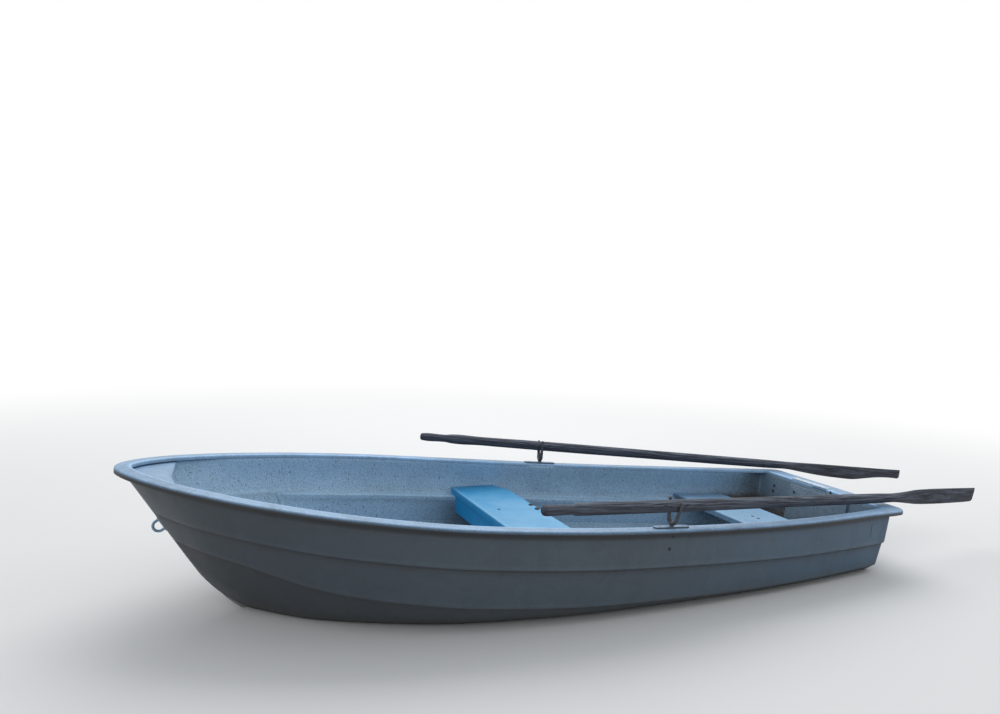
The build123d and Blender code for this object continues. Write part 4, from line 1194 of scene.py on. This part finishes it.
class MakeBottom(bpy.types.Operator):
    """Adds the sole, the breasthook, the transom pad and the keel strip"""

    bl_idname = "boat.make_bottom"
    bl_label = "Sole, pad and keel strip"

    def execute(self, context):
        hull = the_hull()
        self.add_floor(hull)
        self.add_breasthook(hull)
        self.add_pad(hull)
        self.add_keel_strip(hull)
        return {"FINISHED"}

    def add_floor(self, hull):
        """Sole: rows from side to side at each place, its edge on the skin, narrowed at its fore end."""
        size = hull.size
        low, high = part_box("floor")
        x = np.linspace(low.x, high.x, 110)
        share = np.linspace(-1, 1, 61)
        rows = []
        for z in (size.floor_height + size.floor_thickness, size.floor_height):
            half = hull.half_width(x, x * 0 + z, size.wall) - FIT_GAP
            taper = ramp(high.x - x, 0, 0.05) ** 0.5
            y = share * (half * taper)[:, None]
            rows.append(np.stack(np.broadcast_arrays(x[:, None], y, z), -1))
        closed = wrapped(*rows)
        grime = end_rows(0.10 + 0.2 * ramp(np.abs(closed[..., 1]), 0.28, 0.1))
        mud = end_rows(0.25 + 1.1 * ramp(-closed[..., 0], 0.95, 0.35))
        shade = end_rows(below_thwart(closed[..., 0], 1.0))
        patch = Patch(capped(closed), grime=grime, mud=mud, shade=shade)
        make_piece("sole", [patch], "boat", material("inside"), ("floor",), 50)

    def add_breasthook(self, hull):
        """Breasthook: plate under the rim in the bow, drawn from side to side, with a hollowed aft edge."""
        size = hull.size
        low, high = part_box("breasthook")
        share = np.linspace(-1, 1, 41)
        x = np.linspace(low.x, high.x - 0.004, 24)[:, None]
        hollow = 0.030 * (1 - share**2) * (1 - ramp(x, low.x, 0.12))
        x = x + hollow
        top = hull.sheer_at(x) - size.rim_inner_depth - SEAT_GAP
        layers = []
        for drop in (0.0005, 0.018):
            z = top - drop
            half = hull.half_width(x, z, size.wall) - FIT_GAP
            nose = np.sqrt(np.clip((high.x + 0.002 - x) / 0.03, 0.02, 1))
            layers.append(np.stack([x, share * half * nose, z], -1))
        patch = Patch(capped(wrapped(*layers)), grime=0.1, wear=0.3)
        make_piece("bow_hook", [patch], "boat", material("rim"), ("breasthook",), 40)

    def add_pad(self, hull):
        """Transom pad: a plank against the leaning transom with rounded edges, its screws and the bolts
        beside it, on the transom's inside. Level and raised are what its thickness adds to its box."""
        low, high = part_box("transom_pad")
        thick, level, raised = 0.012, 0.0119, 0.0016
        lean = math.atan2(high.x - low.x - level, high.z - low.z)
        up = np.array((-math.sin(lean), 0.0, math.cos(lean)))
        normal = np.array((math.cos(lean), 0.0, math.sin(lean)))
        half, height = high.y, (high.z - low.z - raised) / math.cos(lean)
        face = np.array((high.x, 0.0, low.z))
        outline = rectangle((-half, 0), (half, height), 0.012, 0.02)
        plane = (face - normal * thick, ACROSS, up, normal)
        heights, insets = (0, thick - 0.003, thick - 0.0008, thick), (0, 0, 0.001, 0.004)
        patch = slab(outline, plane, heights, insets, wear=0.10, mud=0.30, shade=0.38)
        make_piece(
            "transom_plank", [patch], "boat", material("inside"), ("transom_pad",), 40
        )
        screws = ((-0.148, 0.165), (-0.072, 0.03), (0.072, 0.165), (0.148, 0.03))
        heads = [head(face + up * rise + ACROSS * across, normal, 0.007, 0.003) for across, rise in screws]
        for across, height in ((-0.305, 0.232), (-0.307, 0.203), (0.305, 0.232), (0.072, 0.287)):
            level = np.array([[height]])
            place = hull.place(hull.rows(STATIONS[:1, SHEER]), level, hull.transom_inside)[0, 0]
            heads.append(head((place, across, height), normal, 0.0072, 0.004))
        make_piece("plank_screws", heads, "boat", material("bolt"))

    def add_keel_strip(self, hull):
        """Keel strip: a rounded bar under the profile, from the transom up the forefoot."""
        low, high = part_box("keel_strip")
        share = np.linspace(0, 0.95, 120)
        along, depth = hull.foot(share)
        start, extra = low.x + hull.length / 2, 5
        along = np.concatenate([np.linspace(start, along[0], extra + 1)[:-1], along])
        depth = np.concatenate([np.full(extra, depth[0]), depth])
        share = np.concatenate([np.zeros(extra), share])
        slope = unit(np.stack([np.gradient(along), np.gradient(depth)], 1))
        normal = np.stack([slope[:, 1], 0 * along, -slope[:, 0]], 1)
        line = np.stack([along - hull.length / 2, 0 * along, depth], 1)
        half, height, slant = high.y, 0.014, 0.003
        slim = 1 - 0.85 * ramp(share, share[-1] - 0.06, 0.06)[:, None] ** 2
        corners = [(-half, 0), (half, 0), (half - slant, height), (slant - half, height)]
        section = rounded(np.array(corners), (0.001, 0.001, 0.004, 0.004), True, 4)
        tall = (SEAT_GAP + section[:, 1] * slim)[..., None]
        points = line[:, None] + section[:, :1] * ACROSS * slim[..., None] + tall * normal[:, None]
        patch = Patch(capped(points))
        make_piece("keel_bar", [patch], "boat", material("plastic"), ("keel_strip",), 50)


class MakeFittings(bpy.types.Operator):
    """Adds the clamp strip, the drain plug, the bow eye, the side bolts and the blank plate"""

    bl_idname = "boat.make_fittings"
    bl_label = "Small fittings"

    def execute(self, context):
        hull = the_hull()
        self.add_clamp_strip()
        self.add_plug()
        self.add_bow_eye(hull)
        self.add_bolts(hull)
        self.add_plate(hull)
        return {"FINISHED"}

    def add_clamp_strip(self):
        """Clamp strip: a thin bar with rounded corners and a chamfered upper edge, and three rivets."""
        low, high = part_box("transom_clamp_strip")
        outline = rectangle((low.x, low.y), (high.x, high.y), 0.008, 0.02, 6)
        plane = (np.zeros(3), np.array((1.0, 0.0, 0.0)), ACROSS, UP)
        heights, insets = (low.z, high.z - 0.0008, high.z - 0.0002, high.z), (0, 0, 0.0004, 0.0012)
        patch = slab(outline, plane, heights, insets)
        middle, length = 0.5 * (low.x + high.x), high.y - low.y
        rivets = [
            head((middle, low.y + share * length, high.z - 0.0012), UP, 0.004, 0.0012)
            for share in (0.1, 0.5, 0.9)
        ]
        make_piece(
            "clamp_bar", [patch, *rivets], "boat", material("aluminium"),
            ("transom_clamp_strip",), 40,
        )

    def add_plug(self):
        """Drain plug: a turned flange with softened edges on a stem through the transom, square to it."""
        low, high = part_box("drain_plug")
        normal = np.array(mount("transom_pad_face")["axis"])
        place = np.array((0.5 * (low.x + high.x), 0.0, 0.5 * (low.z + high.z)))
        reach = 0.5 * (high.x - low.x) / normal[0] - 0.0022
        flange, stem = 0.018, 0.0105
        profile = [
            (0, -reach), (flange - 0.001, -reach), (flange, -reach + 0.001), (flange, -reach + 0.0035),
            (stem, -reach + 0.004), (stem, reach), (stem - 0.0015, reach + 0.0008), (0, reach + 0.0008),
        ]
        patch = Patch(revolved(profile, place, normal, 48))
        make_piece("bronze_plug", [patch], "boat", material("brass"), ("drain_plug",), 35)

    def add_bow_eye(self, hull):
        """Bow eye: a plate on the stem and a round U bolt, whose path is a half circle on straight legs."""
        normal = unit((1.0, 0.0, -hull.size.stem_lean))
        up = np.array((-normal[2], 0.0, normal[0]))
        half, reach, rod, plate = 0.019, 0.032, 0.0048, 0.003
        base = np.array(mount("bow_eye_loop")["pos_m"]) - normal * 0.016
        outline = rectangle((-0.008, -0.029), (0.008, 0.029), 0.007, 0.01)
        heights, insets = (0, plate - 0.0008, plate - 0.0002, plate), (0, 0, 0.0003, 0.0012)
        patch = slab(outline, (base, ACROSS, up, normal), heights, insets, wear=0.2)
        turn = np.linspace(-np.pi / 2, np.pi / 2, 25)
        arc = np.stack([half * np.sin(turn), reach - half + half * np.cos(turn)], 1)
        line = refined(np.concatenate([[(-half, 0.0)], arc, [(half, 0.0)]]), 0.004)
        path = base + line[:, :1] * up + line[:, 1:] * normal
        loop = tube(path, np.full(len(path), rod), ACROSS, wear=0.3)
        make_piece("stem_eye", [patch, loop], "boat", material("socket"), ("bow_eye",), 40)

    def add_bolts(self, hull):
        """Two bolts through the topside below each rowlock, on the skin and square to it."""
        for name, side in SIDES:
            foot = np.array(joint(f"swing_{name}")["pos_m"])
            heads = []
            for x, drop in ((foot[0] - 0.001, 0.028), (foot[0] + 0.007, 0.078)):
                z = hull.sheer_at(x) - drop
                near, low, high = hull.half_width(np.full(3, x), z + np.array((0.0, -0.01, 0.01)), 0.0)
                normal = np.array((0.0, side, (low - high) / 0.02))
                heads.append(head((x, side * near, z), normal, 0.0065, 0.003))
            make_piece(f"side_bolts_{name}", heads, "boat", material("bolt"))

    def add_plate(self, hull):
        """Blank plate near the stern on the port quarter: a thin sheet laid on the skin."""
        x = np.linspace(-1.462, -1.420, 10)[:, None]
        z = hull.sheer_at(x) - np.linspace(0.056, 0.112, 10)[None]
        half = hull.half_width(x + 0 * z, z, 0.0)
        sheets = [np.stack([x + 0 * z, half + lift, z], -1) for lift in (0.0012, -0.0005)]
        patch = Patch(capped(wrapped(*sheets)), wear=0.25, lining=1.0)
        make_piece("blank_plate", [patch], "boat", material("topsides"), (), 30)


class MakeRowlocks(bpy.types.Operator):
    """Adds each rowlock: plate with screws, socket tube, leg down the skin, and the horn that turns in it"""

    bl_idname = "boat.make_rowlocks"
    bl_label = "Rowlocks"

    def execute(self, context):
        hull = the_hull()
        for name, side in SIDES:
            pin = unit(joint(f"swing_{name}")["axis"]) * -side
            foot = np.array(joint(f"swing_{name}")["pos_m"])
            blade_way = -unit(mount(f"oar_grip_{name}")["axis"])
            self.add_socket(hull, name, side, foot, pin)
            self.add_horn(name, foot, pin, blade_way)
        return {"FINISHED"}

    def add_socket(self, hull, name, side, foot, pin):
        """Socket: a slot-shaped plate along the rim, a turned tube through it and a leg down the skin."""
        step = 0.05
        beside = foot[0] + np.array((-step, step))
        half, rise = hull.half_width(beside, np.full(2, foot[2] - 0.01), 0.0), hull.sheer_at(beside)
        run = unit((2 * step, side * (half[1] - half[0]), rise[1] - rise[0]))
        out = unit(np.cross(run, UP)) * -side
        normal = unit(np.cross(run, out)) * side
        turn = np.linspace(-np.pi / 2, np.pi / 2, 13)
        end = np.stack([0.067 + 0.013 * np.cos(turn), 0.013 * np.sin(turn)], 1)
        outline = np.concatenate([end, -end, end[:1]])
        plane = (foot, run, out, normal)
        dark = 0.85 * np.array((1.0, 1.0, 1.0, 0.5, 0.0, 0.0))[:, None]
        heights, insets = (0.0003, 0.0041, 0.0050, 0.0053), (0, 0, 0.0005, 0.0016)
        plate = slab(refined(outline, 0.02), plane, heights, insets, wear=0.2, shade=dark)
        bore, boss = 0.0061, 0.011
        profile = [
            (bore, -0.042), (boss - 0.001, -0.042), (boss, -0.041), (boss, 0.0052), (boss + 0.0015, 0.0054),
            (boss, 0.0068), (boss - 0.0012, 0.0073), (bore + 0.0008, 0.0073), (bore, 0.0066), (bore, -0.042),
        ]
        patches = [plate, Patch(revolved(profile, foot, pin, 48), wear=0.4)]
        for along in (-0.055, 0.055):
            patches.append(head(foot + run * along + normal * heights[-1], normal, 0.0048, 0.0022, wear=0.0))
        low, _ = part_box(f"rowlock_socket_{name}")
        z = np.linspace(low.z + 0.0006, foot[2] - 0.022, 9)
        x = foot[0] + np.linspace(-0.012, 0.012, 5)
        grid_x, grid_z = np.meshgrid(x, z)
        wide = hull.half_width(grid_x, grid_z, hull.size.wall)
        layers = [np.stack([grid_x, side * (wide - gap), grid_z], -1) for gap in (0.0005, 0.0052)]
        patches.append(Patch(capped(wrapped(*layers)), wear=0.2))
        nodes = (f"rowlock_socket_{name}",)
        make_piece(f"rowlock_plate_{name}", patches, "boat", material("socket"), nodes, 35)

    def add_horn(self, name, foot, pin, blade_way):
        """Horn: a forged bar on a collared pin.

        From the balls at its tips it runs down in straight arms, round the loom on a circle, then
        straight on along the circle's tangents to a tight bend above the collar.
        """
        centre = np.array(joint(f"tilt_{name}")["pos_m"])
        ahead = unit(blade_way - pin * (blade_way @ pin))
        across = np.cross(pin, ahead)
        radius, rod, arm, ball = 0.0300, 0.0052, 0.019, 0.0070
        leave, bend, below = math.radians(76), 0.0190, float((centre - foot) @ pin) - 0.0165
        turn = np.linspace(np.pi / 2, leave, 9)
        circle = np.stack([radius * np.sin(turn), -radius * np.cos(turn)], 1)
        turn = np.linspace(leave, 0, 9)
        tight = np.stack([bend * np.sin(turn), bend * (1 - np.cos(turn)) - below], 1)
        part = np.linspace(0, 1, 9)[1:-1, None]
        half = np.concatenate([circle, circle[-1:] + part * (tight[:1] - circle[-1:]), tight])
        arc = np.concatenate([half * (-1, 1), half[-2::-1]])
        tip = arm + ball * np.sin(np.linspace(-0.7, np.pi / 2, 16))
        rise = np.concatenate([np.linspace(0, arm - 0.004, 8)[1:], tip])
        left = np.stack([np.full(len(rise), -radius), rise], 1)[::-1]
        right = np.stack([np.full(len(rise), radius), rise], 1)
        line = np.concatenate([left, arc, right])
        path = centre + line[:, :1] * across + line[:, 1:] * pin
        height = line[:, 1]
        knob = np.sqrt(np.clip(ball**2 - (height - arm) ** 2, 1e-12, None))
        low_part = np.clip(-height / below, 0, 1) ** 2
        thick = rod * (1 + 0.35 * low_part)
        radii = np.where(height > arm - 0.0055, np.maximum(knob, np.where(height < arm, thick, 0)), thick)
        radii[[0, -1]] = 1e-5
        wide = 1 + 0.25 * ramp(arm - 0.006 - height, 0, 0.012) + 0.15 * low_part
        bar = tube(path, radii, ahead, wide, wear=end_rows(0.5 * (height < -0.6 * radius))[:, None])
        length = (centre - foot) @ pin - below
        profile = [
            (0, -0.050), (0.0046, -0.050), (0.006, -0.0485), (0.006, 0.0074), (0.009, 0.0078),
            (0.009, 0.0112), (0.0082, 0.0118), (0.0064, 0.0125), (0.0050, 0.0140), (0, 0.0145),
        ]
        pin_piece = Patch(revolved(profile, foot, pin, 36), wear=0.2)
        level = np.linspace(0.010, length, 14)
        share = ramp(level, level[0], level[-1] - level[0])
        swell = 0.0062 + 0.0006 * share
        stem = tube(foot + level[:, None] * pin, swell, ahead, 1.1 + 0.9 * share**1.5, wear=0.1)
        make_piece(
            f"rowlock_fork_{name}", [bar, pin_piece, stem], f"horn_{name}", material("horn"),
            (f"rowlock_horn_{name}",), 60,
        )


# Oars. Columns: place from the handle's end in metres, reach above and below the axis, half thickness,
# squareness of the section (2 is round, more is boxier), all reaches in millimetres. The number before
# each table is the slant of the tip in millimetres.
OARS = {
    "port": (22.0, np.array([
        (0.000, 12.0, 12.0, 12.0, 2.0), (0.004, 16.2, 16.2, 16.2, 2.0), (0.012, 17.8, 17.8, 17.8, 2.0),
        (0.040, 17.9, 17.9, 17.9, 2.0), (0.080, 17.2, 17.2, 17.2, 2.0), (0.122, 17.0, 17.0, 17.0, 2.0),
        (0.127, 17.4, 17.4, 17.4, 2.0), (0.133, 20.0, 20.0, 20.0, 2.0), (0.140, 21.0, 21.0, 21.0, 2.0),
        (0.160, 21.4, 21.4, 21.4, 2.0), (0.300, 22.2, 22.3, 22.2, 2.0), (1.200, 22.4, 22.4, 22.4, 2.0),
        (1.900, 21.6, 21.6, 21.6, 2.0),
        (2.030, 20.6, 20.6, 20.6, 2.0), (2.110, 25.5, 26.0, 16.0, 2.2), (2.200, 33.0, 33.5, 11.5, 2.6),
        (2.320, 36.2, 36.5, 9.0, 3.0), (2.500, 36.6, 36.4, 6.6, 3.4), (2.680, 36.0, 34.5, 4.9, 3.6),
        (2.750, 35.6, 32.5, 4.2, 3.6),
    ])),
    "starboard": (4.0, np.array([
        (0.000, 12.0, 12.0, 12.0, 2.0), (0.004, 15.6, 15.6, 15.6, 2.0), (0.012, 17.0, 17.0, 17.0, 2.0),
        (0.100, 17.6, 17.6, 17.6, 2.0), (0.125, 18.0, 18.0, 18.0, 2.0), (0.134, 19.4, 19.4, 19.4, 2.0),
        (0.300, 20.5, 20.5, 20.5, 2.0), (0.520, 22.2, 22.2, 22.2, 2.0), (1.300, 22.2, 22.2, 22.2, 2.0),
        (1.900, 21.2, 21.2, 21.2, 2.0), (2.030, 20.0, 20.4, 20.0, 2.0), (2.100, 20.4, 28.0, 16.0, 2.2),
        (2.200, 21.6, 38.0, 11.5, 2.6), (2.330, 22.0, 45.5, 9.0, 3.0), (2.450, 22.4, 47.0, 7.4, 3.2),
        (2.540, 22.6, 35.0, 6.4, 3.4), (2.600, 22.8, 27.5, 5.8, 3.4), (2.750, 24.5, 25.5, 4.5, 3.4),
    ])),
}
GRIP_END, BLADE_START, BLADE_SET, TIP = 0.16, 2.0, 2.1, 0.15


class MakeOars(bpy.types.Operator):
    """Adds both oars: grip, loom and blade as one drawn surface, worn at the horn and at the tip"""

    bl_idname = "boat.make_oars"
    bl_label = "Oars"

    def execute(self, context):
        size = context.scene.boat_sizes
        for name, _ in SIDES:
            slant, table = OARS[name]
            centre = np.array(joint(f"tilt_{name}")["pos_m"])
            ahead = -unit(mount(f"oar_grip_{name}")["axis"])
            up = unit(UP - ahead * ahead[2])
            across = np.cross(ahead, up)
            inboard = size.oar_length - size.oar_outboard
            spans = [
                np.linspace(0, GRIP_END, 40),
                np.linspace(GRIP_END, BLADE_START, 90),
                np.linspace(BLADE_START, size.oar_length, 120),
            ]
            places = np.unique(np.concatenate(spans))
            numbers = hermite(table[:, 0], table[:, 1:], places) / (1000, 1000, 1000, 1)
            above, below, thick, square = numbers.T
            around = 65
            turn = once_round(around)
            c, s = np.cos(turn), np.sin(turn)
            power = (2 / square)[:, None]
            rise = np.sign(s) * np.abs(s) ** power
            side = np.sign(c) * np.abs(c) ** power
            reach = np.where(rise > 0, above[:, None], below[:, None])
            lift = rise * reach
            end = ramp(places, size.oar_length - TIP, TIP)[:, None]
            shift = slant / 1000 * end * (lift - 0.036) / 0.072
            shift -= 0.010 * end**6 * np.clip(-rise - 0.72, 0, 1) / 0.28
            along = places[:, None] - inboard + shift
            points = (
                centre
                + along[..., None] * ahead
                + lift[..., None] * up
                + (side * thick[:, None])[..., None] * across
            )
            girth = np.linspace(0, 1, around) * 0.14
            uv = np.stack(np.broadcast_arrays(girth[None], places[:, None]), -1)
            on_blade = (places > BLADE_SET)[:, None]
            # The under value gives painted shade on the underside and darkens the handle's end and the blade; the
            # wear value lightens the top as painted light and marks wear by the horn.
            under_side = np.clip(-rise * 0.9 + 0.15, 0, 1) * np.where(on_blade, 0.35, 1.0)
            under_side += 0.8 * ramp(0.014 - places, 0, 0.010)[:, None]
            under_side += 0.50 * ramp(places, BLADE_START, 0.2)[:, None]
            wear = np.clip(rise, 0, 1) * 0.75 + 0.5 * np.exp(-((places - inboard) / 0.06) ** 2)[:, None]
            wear = wear * np.where(on_blade, 0.55, 1.0)
            patch = Patch(
                capped(points), end_rows(uv), under=end_rows(under_side), wear=end_rows(np.clip(wear, 0, 1))
            )
            make_piece(
                f"wooden_oar_{name}", [patch], f"oar_{name}", material("wood"),
                (f"oar_loom_{name}", f"oar_blade_{name}"), 50,
            )
        return {"FINISHED"}


class MakeStage(bpy.types.Operator):
    """Adds the pale floor at the waterline, the white surroundings, soft lamps and the camera"""

    bl_idname = "boat.make_stage"
    bl_label = "Stage"

    camera_place: bpy.props.FloatVectorProperty(
        name="Camera place",
        description="Where the camera stands",
        default=(1.4481, 2.9924, 1.1846),
        subtype="TRANSLATION",
    )
    camera_turn: bpy.props.FloatVectorProperty(
        name="Camera turn",
        description="How the camera is turned",
        default=tuple(math.radians(a) for a in (85.40955, -2.46150, 157.37676)),
        subtype="EULER",
    )
    camera_lens: bpy.props.FloatProperty(
        name="Camera lens", description="Focal length in millimetres", default=29.105
    )
    floor_radius: size("Floor radius", 60.0, "From the boat to the floor's edge")
    fade_start: size("Fade start", 2.2, "Distance at which the floor starts to fade to white")
    fade_end: size("Fade end", 7.0, "Distance at which the floor is white")

    def execute(self, context):
        self.add_floor(context)
        self.add_world(context)
        self.add_lamps(context)
        camera = bpy.data.objects.new("camera", bpy.data.cameras.new("camera"))
        context.scene.collection.objects.link(camera)
        camera.data.lens = self.camera_lens
        camera.data.sensor_fit = "HORIZONTAL"
        camera.data.sensor_width = 36.0
        camera.data.clip_end = 200.0
        camera.location = self.camera_place
        camera.rotation_euler = self.camera_turn
        context.scene.camera = camera
        context.scene.view_settings.view_transform = "Standard"
        return {"FINISHED"}

    def add_floor(self, context):
        """Floor from the hull's waterline out to a circle, whose look fades to white with the distance.

        Each row lies between the loop where the skin's middle meets the waterline and the circle, at a
        share that grows with the third power.
        """
        hull = the_hull()
        turn = once_round(129)
        profile, depth = hull.foot(np.linspace(0, 1, 400))
        fore = float(np.interp(0, depth, profile)) - hull.length / 2 - 0.004
        aft = hull.place(hull.rows(STATIONS[:1, SHEER]), np.zeros((1, 1)), -hull.corner_depth)[0, 0] + 0.004
        x = 0.5 * (fore + aft) + 0.5 * (fore - aft) * np.cos(turn)
        taper = ramp(np.minimum(x - aft, fore - x), 0, 0.02) ** 0.5
        half = hull.half_width(x, 0 * x, 0.5 * hull.size.wall) * taper
        loop = np.stack([x, np.sign(np.sin(turn)) * half, 0 * x], 1)
        circle = self.floor_radius * np.stack([np.cos(turn), np.sin(turn), 0 * turn], 1)
        share = np.linspace(0, 1, 40)[:, None, None] ** 3
        points = loop + (circle - loop) * share
        mesh = bpy.data.meshes.new("studio_floor")
        faces = quads(*points.shape[:2])[:, [0, 3, 2, 1]]
        mesh.from_pydata(points.reshape(-1, 3).tolist(), [], faces.tolist())
        floor = bpy.data.objects.new("studio_floor", mesh)
        context.scene.collection.objects.link(floor)
        make = Finish("studio floor")
        coordinates = make.node("ShaderNodeTexCoord", output="Object")
        distance = make.node(
            "ShaderNodeVectorMath", {"operation": "LENGTH"}, {0: coordinates}, output="Value"
        )
        tone = context.scene.boat_colours.floor
        pale = make.node("ShaderNodeBsdfDiffuse", {}, {"Color": rgba(tone)})
        white = make.node("ShaderNodeEmission", {}, {"Color": (1.0, 1.0, 1.0, 1.0), "Strength": 1.0})
        rays = ("Is Camera Ray", "Is Glossy Ray", "Is Transmission Ray")
        seen, glossy, through = (make.node("ShaderNodeLightPath", output=ray) for ray in rays)
        direct = (seen + glossy + through).clamped()
        fade = distance.band(self.fade_start, self.fade_end) * direct
        blend = make.node("ShaderNodeMixShader", {}, {0: fade, 1: pale, 2: white})
        make.tree.links.new(blend.socket, make.output.inputs["Surface"])
        mesh.materials.append(make.material)

    def add_world(self, context):
        """World: soft even light, seen as white by the camera, in gloss and through glass."""
        world = bpy.data.worlds.new("studio")
        context.scene.world = world
        world.use_nodes = True
        tree = world.node_tree
        tree.nodes.clear()
        path = tree.nodes.new("ShaderNodeLightPath")
        kinds = ("ShaderNodeBackground", "ShaderNodeBackground", "ShaderNodeMixShader")
        plain, white, blend = (tree.nodes.new(kind) for kind in kinds)
        plain.inputs["Color"].default_value = (0.93, 0.97, 1.0, 1.0)
        plain.inputs["Strength"].default_value = 0.55
        white.inputs["Color"].default_value = (1.0, 1.0, 1.0, 1.0)
        output = tree.nodes.new("ShaderNodeOutputWorld")
        seen = path.outputs["Is Camera Ray"]
        for ray in ("Is Glossy Ray", "Is Transmission Ray"):
            either = tree.nodes.new("ShaderNodeMath")
            either.operation = "MAXIMUM"
            tree.links.new(seen, either.inputs[0])
            tree.links.new(path.outputs[ray], either.inputs[1])
            seen = either.outputs[0]
        tree.links.new(seen, blend.inputs[0])
        tree.links.new(plain.outputs[0], blend.inputs[1])
        tree.links.new(white.outputs[0], blend.inputs[2])
        tree.links.new(blend.outputs[0], output.inputs["Surface"])

    def add_lamps(self, context):
        """Large soft lamps, each aimed at the boat. Columns: name, place, size, power."""
        lamps = (
            ("sky", (-1.0, -3.5, 5.5), 6.0, 250.0),
            ("side", (4.5, 3.0, 4.0), 4.0, 55.0),
            ("stern", (-5.5, 1.5, 3.5), 3.5, 34.0),
        )
        for name, place, span, power in lamps:
            lamp = bpy.data.lights.new(name, "AREA")
            lamp.energy = power
            lamp.size = span
            holder = bpy.data.objects.new(name, lamp)
            holder.location = place
            aim = Vector((0, 0, 0.2)) - Vector(place)
            holder.rotation_euler = aim.to_track_quat("-Z", "Y").to_euler()
            context.scene.collection.objects.link(holder)


MAKERS = (
    MakeStage, MakeShell, MakeRim, MakeRisers, MakeThwart,
    MakeBench, MakeBottom, MakeFittings, MakeRowlocks, MakeOars,
)


class BoatPanel(bpy.types.Panel):
    """Lists the boat's makers, sizes and colours."""

    bl_idname = "VIEW3D_PT_boat"
    bl_label = "Rowing boat"
    bl_space_type = "VIEW_3D"
    bl_region_type = "UI"
    bl_category = "Boat"

    def draw(self, context):
        for maker in MAKERS:
            self.layout.operator(maker.bl_idname)
        for group in (context.scene.boat_sizes, context.scene.boat_colours):
            box = self.layout.box()
            for name in group.__annotations__:
                box.prop(group, name)


CLASSES = (BoatSizes, BoatColours, *MAKERS, BoatPanel)


def register():
    """Registers the classes and gives the scene its sizes and colours."""
    for item in CLASSES:
        bpy.utils.register_class(item)
    bpy.types.Scene.boat_sizes = bpy.props.PointerProperty(type=BoatSizes)
    bpy.types.Scene.boat_colours = bpy.props.PointerProperty(type=BoatColours)


def unregister():
    """Takes the settings and the classes away again."""
    del bpy.types.Scene.boat_colours
    del bpy.types.Scene.boat_sizes
    for item in reversed(CLASSES):
        bpy.utils.unregister_class(item)


def main():
    """Registers the add-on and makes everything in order."""
    register()
    for maker in MAKERS:
        group, name = maker.bl_idname.split(".")
        getattr(getattr(bpy.ops, group), name)()


if __name__ == "__main__":
    main()
